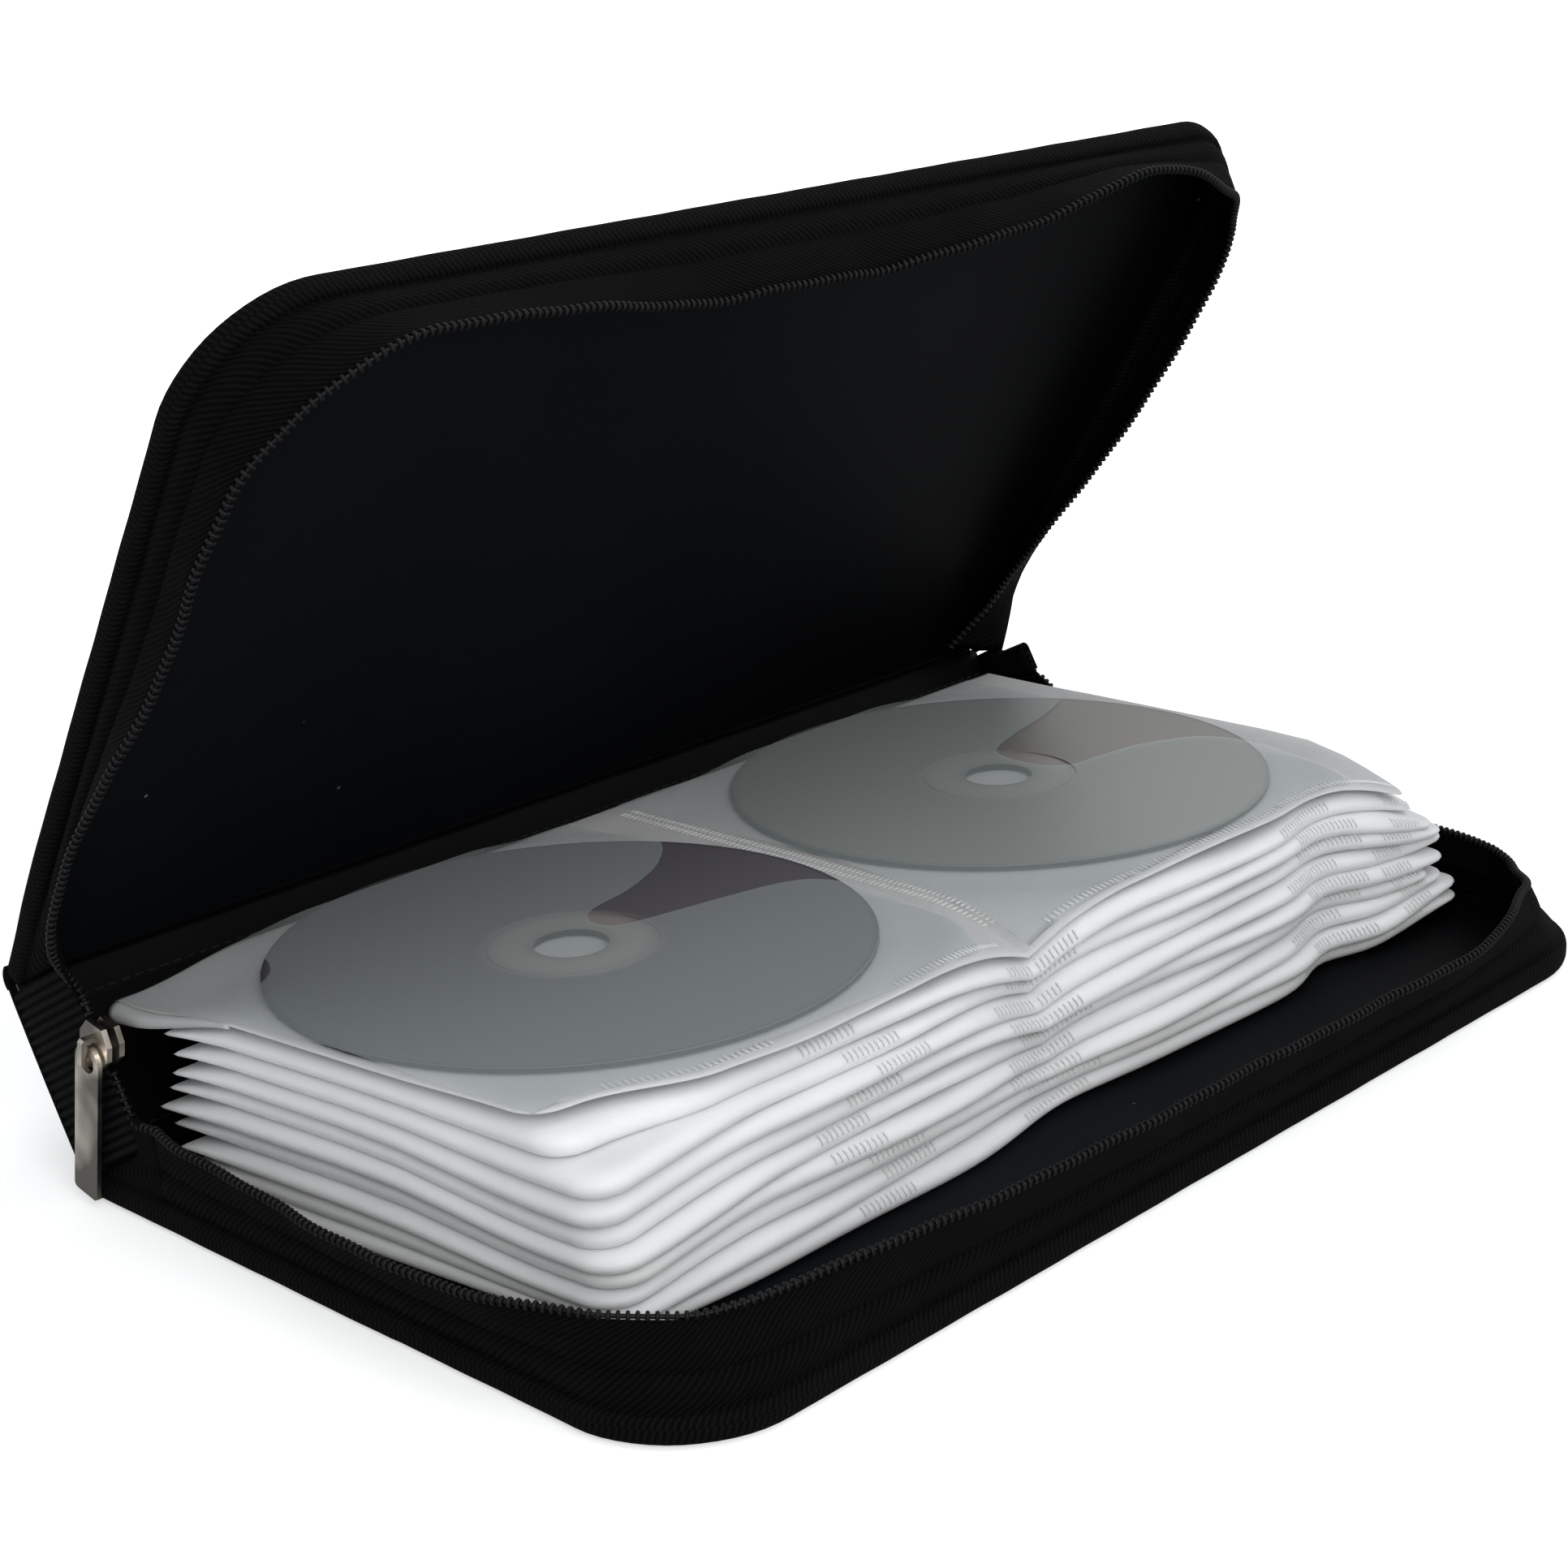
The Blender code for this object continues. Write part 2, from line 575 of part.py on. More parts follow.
def grid_solid(bottom, top, between=()):
    """Solid between two grids with as many points, with loops of points between their rims."""
    rows, columns = len(top), len(top[0])
    vertices = [p for row in bottom for p in row] + [p for row in top for p in row]
    offset = rows * columns
    faces = []
    for r in range(rows - 1):
        for c in range(columns - 1):
            a, b = r * columns + c, (r + 1) * columns + c
            faces.append([a, b, b + 1, a + 1])
            faces.append([offset + a, offset + a + 1, offset + b + 1, offset + b])

    def rim(first):
        index = [[first + r * columns + c for c in range(columns)] for r in range(rows)]
        return rim_of(index)

    loops = [rim(0)]
    for loop in between:
        loops.append(list(range(len(vertices), len(vertices) + len(loop))))
        vertices += loop
    loops.append(rim(offset))
    for low, high in zip(loops, loops[1:]):
        for k in range(len(low)):
            after = (k + 1) % len(low)
            faces.append([low[k], low[after], high[after], high[k]])
    return vertices, faces


def make_sleeve_block(parent, finish):
    """The lower sleeves as one solid, whose sides show the edge of each leaf as a ridge."""
    def height(level):
        return BLOCK_BOTTOM + (BLOCK_TOP - BLOCK_BOTTOM) * level

    between = []
    for k in range(1, 2 * LEAF_GAPS):
        level = k / (2 * LEAF_GAPS)
        inset = LEAF_NOTCH if k % 2 else 0.0
        between.append(rim_of(leaf_grid(level, inset, height(level))))
    bottom = leaf_grid(0.0, 0.0, height(0.0))
    top = leaf_grid(1.0, 0.0, height(1.0))
    return add_mesh("sleeve_block", *grid_solid(bottom, top, between), finish, parent, smooth=False)


def make_top_sheet(parent, finish):
    """White backing sheet of the top leaf, which carries the two discs."""
    bottom = leaf_grid(1.0, 0.0, SHEET_BOTTOM)
    top = leaf_grid(1.0, 0.0, SHEET_TOP)
    return add_mesh("top_leaf_sheet", *grid_solid(bottom, top), finish, parent)


def make_disc(name, x, parent, finish):
    """Disc turned from its section: flat faces, centre hole and the stacking ring round the hub."""
    outer = 0.5 * DISC_DIAMETER
    hole = 0.5 * DISC_HOLE
    ring = 0.5 * HUB_RING
    ring_outer = ring + HUB_RING_WIDTH
    low, high = 0.0, DISC_THICKNESS
    groove = high - HUB_RING_DEPTH
    bevel = DISC_BEVEL
    section = [(hole, low), (outer - bevel, low), (outer, low + bevel), (outer, high - bevel),
               (outer - bevel, high), (ring_outer, high), (ring_outer, groove), (ring, groove),
               (ring, high), (hole, high)]
    loops = []
    for k in range(DISC_SEGMENTS):
        angle = 2 * math.pi * k / DISC_SEGMENTS
        loops.append([(r * math.cos(angle), r * math.sin(angle), z) for r, z in section])
    vertices = [p for loop in loops for p in loop]
    count = len(section)
    faces = []
    for row in range(DISC_SEGMENTS):
        ahead = (row + 1) % DISC_SEGMENTS
        for k in range(count):
            after = (k + 1) % count
            faces.append([row * count + k, ahead * count + k, ahead * count + after, row * count + after])
    disc = add_mesh(name, vertices, faces, finish, parent)
    disc.location = (x, DISC_Y, DISC_BOTTOM)
    return disc


def notch_outline(mouth):
    """The cut from the film's free edge, at mouth, towards the hole, about the disc's centre."""
    root = 0.5 * DISC_HOLE + NOTCH_ROOT_GAP
    flare = mouth - NOTCH_ROUND
    slope = (NOTCH_MOUTH_HALF - NOTCH_ROOT_HALF) / (flare - root)
    half = [(root, 0.7 * NOTCH_ROOT_HALF), (root + 0.3 * NOTCH_ROOT_HALF, NOTCH_ROOT_HALF)]
    for k in range(1, 5):
        reach = root + (flare - root) * k / 4
        bow = NOTCH_BOW * math.sin(math.pi * k / 4)
        half.append((reach, NOTCH_ROOT_HALF + slope * (reach - root) - bow))
    for k in range(1, 4):
        swing = math.radians(30.0 * k)
        half.append((flare + NOTCH_ROUND * math.sin(swing),
                     NOTCH_MOUTH_HALF + NOTCH_ROUND * (1 - math.cos(swing))))
    half.append((mouth + NOTCH_ROUND, half[-1][1]))
    turn = math.radians(NOTCH_TURN)
    sides = half + [(reach, -width) for reach, width in reversed(half)]
    return [(u * math.cos(turn) - v * math.sin(turn), u * math.sin(turn) + v * math.cos(turn))
            for u, v in sides]


def make_film(name, left, right, centre_x, parent, finish):
    """Clear film over one disc, welded to the sheet on three sides, with a notched free edge."""
    _, _, rear, front = leaf_span(1.0)
    rows = []
    for row in range(LEAF_ROWS + 1):
        share = row / LEAF_ROWS
        line = []
        for k in range(FILM_COLUMNS + 1):
            x = left + (right - left) * k / FILM_COLUMNS
            low = leaf_front(x, LEAF_LEFT, LEAF_RIGHT, front) + POCKET_MARGIN
            y = rear + (low - rear) * share
            line.append((x, y, FILM_BOTTOM - leaf_sag(x, y)))
        rows.append(line)
    top = [[(x, y, z + FILM_THICKNESS) for x, y, z in row] for row in rows]
    film = add_mesh(name, *grid_solid(rows, top), finish, parent)
    opening = notch_outline(right - centre_x)
    loops = [[(centre_x + x, DISC_Y + y, z) for x, y in opening]
             for z in (FILM_BOTTOM - LEAF_SAG, FILM_TOP + LEAF_SAG)]
    cut(film, add_mesh(name + "_notch", *loft(loops), finish, parent))
    return film


def make_sleeves(parent, finishes):
    make_sleeve_block(parent, finishes["sleeve"])
    make_top_sheet(parent, finishes["sleeve"])
    make_disc("disc_left", DISC_LEFT_X, parent, finishes["disc"])
    make_disc("disc_right", DISC_RIGHT_X, parent, finishes["disc"])
    free_edge = 0.5 * DISC_DIAMETER - FILM_SHORT
    make_film("pocket_film_left", LEAF_LEFT + POCKET_MARGIN, DISC_LEFT_X + free_edge, DISC_LEFT_X,
              parent, finishes["film"])
    make_film("pocket_film_right", SEAM_X + 0.5 * POCKET_MARGIN, DISC_RIGHT_X + free_edge,
              DISC_RIGHT_X, parent, finishes["film"])


def main():
    clear_scene()
    finishes = {
        "nylon": material("black_nylon", (0.012, 0.012, 0.014), 0.85),
        "binding": material("black_binding", (0.010, 0.010, 0.011), 0.8),
        "tape": material("black_zip_tape", (0.011, 0.011, 0.012), 0.8),
        "coil": material("black_zip_coil", (0.015, 0.015, 0.016), 0.4),
        "lining": material("dark_lining", (0.014, 0.016, 0.019), 0.5),
        "board": material("grey_board", (0.30, 0.28, 0.25), 0.9),
        "strip": material("black_strip", (0.012, 0.012, 0.013), 0.55),
        "rib": material("ribbed_gusset", (0.013, 0.013, 0.014), 0.8),
        "metal": material("satin_nickel", (0.58, 0.54, 0.48), 0.35, 1.0),
        "sleeve": material("white_sleeve", (0.82, 0.83, 0.85), 0.6),
        "film": material("frosted_film", (0.60, 0.63, 0.63), 0.4),
        "disc": material("grey_disc", (0.25, 0.24, 0.24), 0.35),
    }
    spine = pivot("lower_fold", (0.0, FOLD_Y, FOLD_HEIGHT), -CLOSED_TURN)
    lid = pivot("upper_fold", (0.0, 0.0, SPINE_HEIGHT), -CLOSED_TURN, spine)
    ground = pivot("lower_cover", (0.0, FOLD_Y, FOLD_HEIGHT))
    make_cover("lower", 1, ground, finishes)
    make_cover("upper", -1, lid, finishes)
    make_spine(spine, finishes)
    end_gusset("left_end_gusset", -1, spine, finishes["rib"])
    end_gusset("right_end_gusset", 1, spine, finishes["rib"])
    end_tab(spine, finishes["rib"])
    low = GUSSET_END_MARGIN
    high = SPINE_HEIGHT - GUSSET_END_MARGIN
    below_slider = SLIDER_HEIGHT - SLIDER_HALF_Z - CLEARANCE
    above_slider = SLIDER_HEIGHT + SLIDER_HALF_Z + CLEARANCE
    gusset_coil("left_gusset_coil_low", -1, low, below_slider, spine, finishes["coil"])
    gusset_coil("left_gusset_coil_high", -1, above_slider, high, spine, finishes["coil"])
    gusset_coil("right_gusset_coil", 1, low, high, spine, finishes["coil"])

    tape_plane = -(0.5 * CASE_LENGTH - 0.5 * BINDING_WIDTH)
    make_slider(spine, (tape_plane, SLIDER_Y, SLIDER_HEIGHT), finishes["metal"])
    hinge_out = (0.5 * SLIDER_THROAT + SLIDER_PLATE + PULL_SLACK
                 + 0.5 * (BRIDGE_SLACK + PULL_THICKNESS))
    hinge = pivot("pull_hinge", (tape_plane - hinge_out, SLIDER_Y, SLIDER_HEIGHT), SLIDER_TURN, spine)
    make_pull(hinge, finishes["metal"])
    make_sleeves(pivot("sleeves", (0.0, FOLD_Y, 0.0)), finishes)


main()
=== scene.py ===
"""Cloth, zip, sleeves and light of an open zip-round case for compact discs."""

from math import copysign, cos, dist, exp, hypot, pi, radians, sin, sqrt

import bmesh
import bpy
from mathutils import Matrix, Vector


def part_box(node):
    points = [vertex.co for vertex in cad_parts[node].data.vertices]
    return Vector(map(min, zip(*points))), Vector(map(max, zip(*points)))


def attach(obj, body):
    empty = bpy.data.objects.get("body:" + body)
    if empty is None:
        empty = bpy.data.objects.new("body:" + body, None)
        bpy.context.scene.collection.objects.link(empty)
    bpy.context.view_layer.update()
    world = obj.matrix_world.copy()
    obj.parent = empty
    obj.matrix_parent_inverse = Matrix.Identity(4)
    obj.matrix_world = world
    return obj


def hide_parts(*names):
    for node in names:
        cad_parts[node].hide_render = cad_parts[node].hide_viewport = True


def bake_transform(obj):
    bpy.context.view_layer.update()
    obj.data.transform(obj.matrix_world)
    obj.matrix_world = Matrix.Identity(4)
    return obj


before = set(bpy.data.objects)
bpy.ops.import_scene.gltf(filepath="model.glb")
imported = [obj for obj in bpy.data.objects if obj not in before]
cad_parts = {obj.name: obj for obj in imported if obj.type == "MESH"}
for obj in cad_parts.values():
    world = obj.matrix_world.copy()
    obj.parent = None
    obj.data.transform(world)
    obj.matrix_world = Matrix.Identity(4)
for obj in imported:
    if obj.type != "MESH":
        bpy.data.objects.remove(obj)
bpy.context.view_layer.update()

MM = 0.001
SIDES = (("lower", "lower_cover"), ("upper", "lid"))


# ---------------------------------------------------------------------------------------
# Helpers that the sections share. In a node's inputs a value is set as it is, and a node or
# one of its sockets is linked.
# ---------------------------------------------------------------------------------------

def feed(tree, made, inputs):
    """Puts values and links into a node's inputs, by name or number."""
    for key, value in inputs.items():
        if isinstance(value, bpy.types.Node):
            value = value.outputs[0]
        if isinstance(value, bpy.types.NodeSocket):
            tree.links.new(value, made.inputs[key])
        else:
            made.inputs[key].default_value = value


def node(tree, kind, inputs=None, **settings):
    """Adds a node with its settings and inputs."""
    made = tree.nodes.new(kind)
    for key, value in settings.items():
        setattr(made, key, value)
    feed(tree, made, inputs or {})
    return made


def maths(tree, operation, *values):
    return node(tree, "ShaderNodeMath", dict(enumerate(values)), operation=operation)


def place_in(tree, source="Object"):
    return node(tree, "ShaderNodeTexCoord").outputs[source]


def noise(tree, place, scale, detail=2.0):
    inputs = {"Vector": place, "Scale": scale, "Detail": detail}
    return node(tree, "ShaderNodeTexNoise", inputs).outputs["Fac"]


def waves(tree, place, pitch, axis, distortion, detail):
    """Bands across an axis, one every pitch. At scale 1 they are 0.314 m apart."""
    inputs = {"Vector": place, "Scale": 0.314 / pitch, "Distortion": distortion, "Detail": detail}
    return node(tree, "ShaderNodeTexWave", inputs, wave_type="BANDS",
                bands_direction=axis).outputs["Fac"]


def bump(tree, height, strength, distance, **under):
    """Relief from a height, on top of another one if its Normal is given."""
    inputs = {"Height": height, "Strength": strength, "Distance": distance, **under}
    return node(tree, "ShaderNodeBump", inputs)


def ramp(tree, factor, *stops):
    """Colours through (place, colour) stops."""
    made = node(tree, "ShaderNodeValToRGB", {"Fac": factor})
    marks = made.color_ramp.elements
    for k, (where, colour) in enumerate(stops):
        mark = marks[k] if k < 2 else marks.new(where)
        mark.position = where
        mark.color = (*colour, 1.0)
    return made.outputs["Color"]


def ranged(tree, value, low, high, start=0.0, stop=1.0, **settings):
    """Takes a value from the range start to stop to the range low to high."""
    inputs = {"Value": value, "From Min": start, "From Max": stop, "To Min": low, "To Max": high}
    return node(tree, "ShaderNodeMapRange", inputs, **settings)


def scaled(tree, colour, factor):
    return node(tree, "ShaderNodeVectorMath", {0: colour, "Scale": factor}, operation="SCALE")


def mixed(tree, factor, first, second, **settings):
    inputs = {"Factor": factor, 6: first, 7: second}
    return node(tree, "ShaderNodeMix", inputs, data_type="RGBA", **settings).outputs[2]


def new_finish(name, inputs):
    """Material with its shader's inputs set. Gives it back with its tree and its shader."""
    made = bpy.data.materials.new(name)
    made.use_nodes = True
    shader = made.node_tree.nodes["Principled BSDF"]
    feed(made.node_tree, shader, inputs)
    return made, made.node_tree, shader


def linked(name, data):
    """Object with that data, linked to the scene."""
    thing = bpy.data.objects.new(name, data)
    bpy.context.scene.collection.objects.link(thing)
    return thing


def settled(thing, modifier):
    """Runs an object's modifier and keeps the result as its plain mesh."""
    bpy.context.view_layer.update()
    shape = thing.evaluated_get(bpy.context.evaluated_depsgraph_get())
    mesh = bpy.data.meshes.new_from_object(shape)
    thing.modifiers.remove(modifier)
    thing.data = mesh
    return thing


# ---------------------------------------------------------------------------------------
# Camera: stands off the front left corner, a little above the lid's foot, and is rolled by
# three degrees as the photograph is.
# ---------------------------------------------------------------------------------------

camera_azimuth = radians(-44.919)
camera_height = radians(18.007)
camera_roll = radians(-3.154)
camera_place = Vector((-418.66, -388.12, 249.13)) * MM

toward_eye = Vector((sin(camera_azimuth) * cos(camera_height),
                     -cos(camera_azimuth) * cos(camera_height),
                     sin(camera_height)))
level_right = Vector((cos(camera_azimuth), sin(camera_azimuth), 0.0))
level_up = toward_eye.cross(level_right)
rolled_right = cos(camera_roll) * level_right + sin(camera_roll) * level_up
rolled_up = toward_eye.cross(rolled_right)
camera_turn = Matrix((rolled_right, rolled_up, toward_eye)).transposed()
photo_lens = bpy.data.cameras.new("photo_lens")
photo_lens.lens = 67.67
photo_lens.sensor_width = 36.0
photo_lens.shift_x = 0.0010
photo_lens.shift_y = -0.0013
photo_lens.clip_start = 0.02
photo_lens.clip_end = 20.0
photo_camera = linked("photo_camera", photo_lens)
photo_camera.matrix_world = Matrix.Translation(camera_place) @ camera_turn.to_4x4()
bpy.context.scene.camera = photo_camera


# ---------------------------------------------------------------------------------------
# Studio: a white floor that keeps the case's shadow, a white surround and two soft lamps.
# The camera, metal and clear film see the surround as white.
# ---------------------------------------------------------------------------------------

surround = bpy.data.worlds.new("white_surround")
surround.use_nodes = True
tree = surround.node_tree
tree.nodes.clear()
room_light = node(tree, "ShaderNodeBackground", {"Color": (0.93, 0.97, 1.0, 1.0), "Strength": 0.36})
white_view = node(tree, "ShaderNodeBackground", {"Color": (1.0, 1.0, 1.0, 1.0), "Strength": 1.0})
rays = node(tree, "ShaderNodeLightPath").outputs
seen = maths(tree, "MAXIMUM", rays["Is Camera Ray"], rays["Is Glossy Ray"])
seen = maths(tree, "MAXIMUM", seen, rays["Is Transmission Ray"])
pick = node(tree, "ShaderNodeMixShader", {0: seen, 1: room_light, 2: white_view})
node(tree, "ShaderNodeOutputWorld", {"Surface": pick})
bpy.context.scene.world = surround

floor_finish = bpy.data.materials.new("white_floor")
floor_finish.use_nodes = True
tree = floor_finish.node_tree
tree.nodes.clear()
matt = node(tree, "ShaderNodeBsdfDiffuse", {"Color": (0.86, 0.87, 0.88, 1.0)})
away = node(tree, "ShaderNodeVectorMath", {0: place_in(tree)}, operation="LENGTH")
fade = ranged(tree, away.outputs["Value"], 0.50, 1.3, 0.22, 0.75, interpolation_type="SMOOTHSTEP")
lift = node(tree, "ShaderNodeEmission", {"Strength": fade})
lifted = node(tree, "ShaderNodeAddShader", {0: matt, 1: lift})
rays = node(tree, "ShaderNodeLightPath").outputs
pick = node(tree, "ShaderNodeMixShader", {0: rays["Is Camera Ray"], 1: matt, 2: lifted})
node(tree, "ShaderNodeOutputMaterial", {"Surface": pick})

FLOOR_REACH = 6.0
FLOOR_DROP = 0.0004
floor_mesh = bpy.data.meshes.new("studio_floor")
floor_mesh.from_pydata([(x * FLOOR_REACH, y * FLOOR_REACH, -FLOOR_DROP)
                        for x, y in ((-1, -1), (1, -1), (1, 1), (-1, 1))], [], [(0, 1, 2, 3)])
floor_mesh.materials.append(floor_finish)
linked("studio_floor", floor_mesh)


def soft_lamp(name, place, aim, width, watts, tint):
    """Square lamp that looks at a point."""
    light = bpy.data.lights.new(name, "AREA")
    light.size = width
    light.energy = watts
    light.color = tint
    lamp = linked(name, light)
    facing = (Vector(aim) - Vector(place)).to_track_quat("-Z", "Y")
    lamp.matrix_world = Matrix.Translation(place) @ facing.to_matrix().to_4x4()


soft_lamp("front_lamp", (-0.70, -1.20, 0.80), (0.0, 0.0, 0.05), 0.9, 13.5, (1.0, 0.99, 0.97))
soft_lamp("top_lamp", (0.20, -0.50, 1.5), (0.0, 0.0, 0.05), 1.2, 7.0, (0.96, 0.98, 1.0))
bpy.context.scene.view_settings.view_transform = "Standard"


# ---------------------------------------------------------------------------------------
# Outer cloth of both covers: matt black nylon over a stiff board, turned up at the edge and
# sewn into the binding. A plain weave of half a millimetre shows close by.
# ---------------------------------------------------------------------------------------

CASE_HALF = 145.0 * MM
COVER_REACH = 165.0 * MM
CORNER = 26.0 * MM
FOLD_RISE = 3.9 * MM
FOLD_GAP = 0.3 * MM
TURN_UP = 14.0 * MM
LINING_RISE = 3.62
LOWER_FOLD = Vector((0.0, 82.5, 3.9)) * MM
UPPER_FOLD = Vector((0.0, 102.476, 40.845)) * MM
LID_TURN = radians(-56.8)
lid_away = Vector((0.0, -cos(LID_TURN), -sin(LID_TURN)))
lid_inward = Vector((0.0, sin(LID_TURN), -cos(LID_TURN)))


def eased(value):
    value = min(1.0, max(0.0, value))
    return value * value * (3 - 2 * value)


def bell(value):
    return exp(-value * value)


def spread(low, high, count):
    """Values from low to high in that many equal steps."""
    return [low + (high - low) * k / count for k in range(count + 1)]


def on_cover(side, x, reach, rise):
    """A point of a cover: along the spine, away from its fold and up from its outer face.

    The lid's soft edge is puffed out a little, and its right corner is pushed in.
    """
    if side == "lower":
        return LOWER_FOLD + Vector((x, -reach, rise - FOLD_RISE))
    puff = eased(reach / (30 * MM))
    reach += 1.3 * MM * (reach / COVER_REACH)
    x += (1.3 if x < 0 else 0.6) * MM * puff * x / CASE_HALF
    x -= 4.0 * MM * eased((x / MM - 108.0) / 35.0) * eased((reach / MM - 128.0) / 38.0)
    return UPPER_FOLD + Vector((x, 0.0, 0.0)) + lid_away * reach + lid_inward * (rise - FOLD_RISE)


def edge_walk(spacing, start=0.0):
    """Stations from the left fold round the free edge to the right fold.

    Each is (x, reach, outward x, outward reach, distance), on the outside of the cover.
    """
    straight, front = COVER_REACH - CORNER, CASE_HALF - CORNER
    side = spread(start, straight, max(2, round((straight - start) / spacing)))
    turns = spread(0.0, 0.5 * pi, max(6, round(0.5 * pi * CORNER / spacing)))[:-1]
    walk = [(-CASE_HALF, reach, -1.0, 0.0) for reach in side[:-1]]
    walk += [(-front - CORNER * cos(t), straight + CORNER * sin(t), -cos(t), sin(t)) for t in turns]
    walk += [(x, COVER_REACH, 0.0, 1.0) for x in spread(-front, front, round(2 * front / spacing))[:-1]]
    walk += [(front + CORNER * sin(t), straight + CORNER * cos(t), sin(t), cos(t)) for t in turns]
    walk += [(CASE_HALF, reach, 1.0, 0.0) for reach in reversed(side)]
    run = start
    stations = []
    for k, (x, reach, out_x, out_reach) in enumerate(walk):
        if k:
            run += dist((x, reach), walk[k - 1][:2])
        stations.append((x, reach, out_x, out_reach, run))
    return stations


def from_table(table, value):
    """Value from a table of (place, value) pairs."""
    if value <= table[0][0]:
        return table[0][1]
    for (a, low), (b, high) in zip(table, table[1:]):
        if value <= b:
            return low + (high - low) * (value - a) / (b - a)
    return table[-1][1]


def between(table, value):
    """Smooth value: the table's own, averaged over 16 mm."""
    parts = ((-8.0, 1), (-4.0, 2), (0.0, 3), (4.0, 2), (8.0, 1))
    return sum(weight * from_table(table, value + shift) for shift, weight in parts) / 9.0


def put_piece(name, mesh, finish):
    """Links a mesh with its finish and gives the object back."""
    mesh.materials.clear()
    mesh.materials.append(finish)
    mesh.shade_smooth()
    piece = linked(name, mesh)
    return piece


def skin(name, rows, along, across, wrap=False, capped=False):
    """Mesh through rows of points. along and across give its own UV in metres."""
    count = len(rows[0])
    mesh = bpy.data.meshes.new(name)
    faces, corners = [], []
    last = count if wrap else count - 1
    for r in range(len(rows) - 1):
        for c in range(last):
            after = (c + 1) % count
            faces.append((r * count + c, r * count + after, (r + 1) * count + after,
                          (r + 1) * count + c))
            for row, column in ((r, c), (r, c + 1), (r + 1, c + 1), (r + 1, c)):
                corners.append((along[row], across[column]))
    if capped:
        for row in (0, len(rows) - 1):
            faces.append(tuple(row * count + c for c in range(count)))
            corners += [(along[row], across[c]) for c in range(count)]
    mesh.from_pydata([tuple(p) for row in rows for p in row], [], faces)
    layer = mesh.uv_layers.new(name="cloth")
    for loop, spot in zip(layer.data, corners):
        loop.uv = spot
    if wrap and capped:
        shape = bmesh.new()
        shape.from_mesh(mesh)
        bmesh.ops.recalc_face_normals(shape, faces=shape.faces)
        if shape.calc_volume(signed=True) < 0:
            bmesh.ops.reverse_faces(shape, faces=shape.faces)
        shape.to_mesh(mesh)
        shape.free()
    return mesh


def thickened(piece, thickness, offset=0.0):
    """Gives a sheet its thickness and keeps the result as its plain mesh."""
    wall = piece.modifiers.new("cloth_thickness", "SOLIDIFY")
    wall.thickness = thickness
    wall.offset = offset
    settled(piece, wall)
    piece.data.name = piece.name
    return piece


def cloth_piece(name, rows, along, across, finish, thickness, offset=0.0):
    """Sheet through rows of points, with its finish and its thickness."""
    sheet = put_piece(name, skin(name, rows, along, across), finish)
    return thickened(sheet, thickness, offset)


def cloth_finish(name, colour, roughness, thread, depth, source="Object", specular=0.04,
                 mottle=0.25):
    """Woven cloth: two crossed sets of threads as relief, with mottled colour from wear."""
    made, tree, shader = new_finish(name, {"Roughness": roughness, "Specular IOR Level": specular})
    place = place_in(tree, source)
    weave = maths(tree, "MULTIPLY", *[waves(tree, place, thread, axis, 0.6, 1.0) for axis in "XY"])
    tint = ramp(tree, noise(tree, place, 60.0, 6.0), (0.3, [c * (1 - mottle) for c in colour]),
                (0.7, [c * (1 + mottle) for c in colour]))
    feed(tree, shader, {"Normal": bump(tree, weave, depth, 0.3 * MM),
                        "Base Color": mixed(tree, 0.5, tint, weave, blend_type="MULTIPLY")})
    return made


nylon = cloth_finish("black_nylon", (0.0040, 0.0040, 0.0049), 0.85, 0.55 * MM, 0.35)
board_grey = cloth_finish("grey_board", (0.30, 0.28, 0.25), 0.9, 0.8 * MM, 0.05)

tray_rings = ((14.0, 0.25), (9.0, 0.08), (5.4, 0.0), (3.9, 0.18), (2.9, 0.8), (2.45, 1.8),
              (2.4, 3.0), (2.5, 3.88), (3.45, 3.88), (3.5, 2.6), (3.5, 1.02), (9.0, 1.02))
for side, body in SIDES:
    stations = edge_walk(5.0 * MM, FOLD_GAP)
    rows = []
    for inset, rise in tray_rings:
        ring = []
        for x, reach, out_x, out_reach, _ in stations:
            back = 0.0
            if reach < TURN_UP:
                back = max(0.0, (inset - 2.5) * MM) * (1 - reach / TURN_UP)
            spot_reach = max(FOLD_GAP, reach - out_reach * inset * MM + back)
            ring.append(on_cover(side, x - out_x * inset * MM, spot_reach, rise * MM))
        rows.append(ring)
    girth = [station[4] for station in stations] + [stations[-1][4] + 2 * CASE_HALF]
    depth = [0.0]
    for (a, b), (c, d) in zip(tray_rings, tray_rings[1:]):
        depth.append(depth[-1] + dist((a, b), (c, d)) * MM)
    mesh = skin(side + "_cover_cloth", rows, depth, girth, wrap=True, capped=True)
    piece = put_piece(side + "_cover_cloth", mesh, nylon)
    mesh.set_sharp_from_angle(angle=radians(40))
    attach(piece, body)
    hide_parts(side + "_cover_shell")
    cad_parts[side + "_cover_board"].material_slots[0].material = board_grey


# ---------------------------------------------------------------------------------------
# Linings: thin coated cloth, bluish black and nearly smooth, stretched over the boards. It
# waves softly, one crease runs aslant over it and specks of dust lie on it.
# ---------------------------------------------------------------------------------------

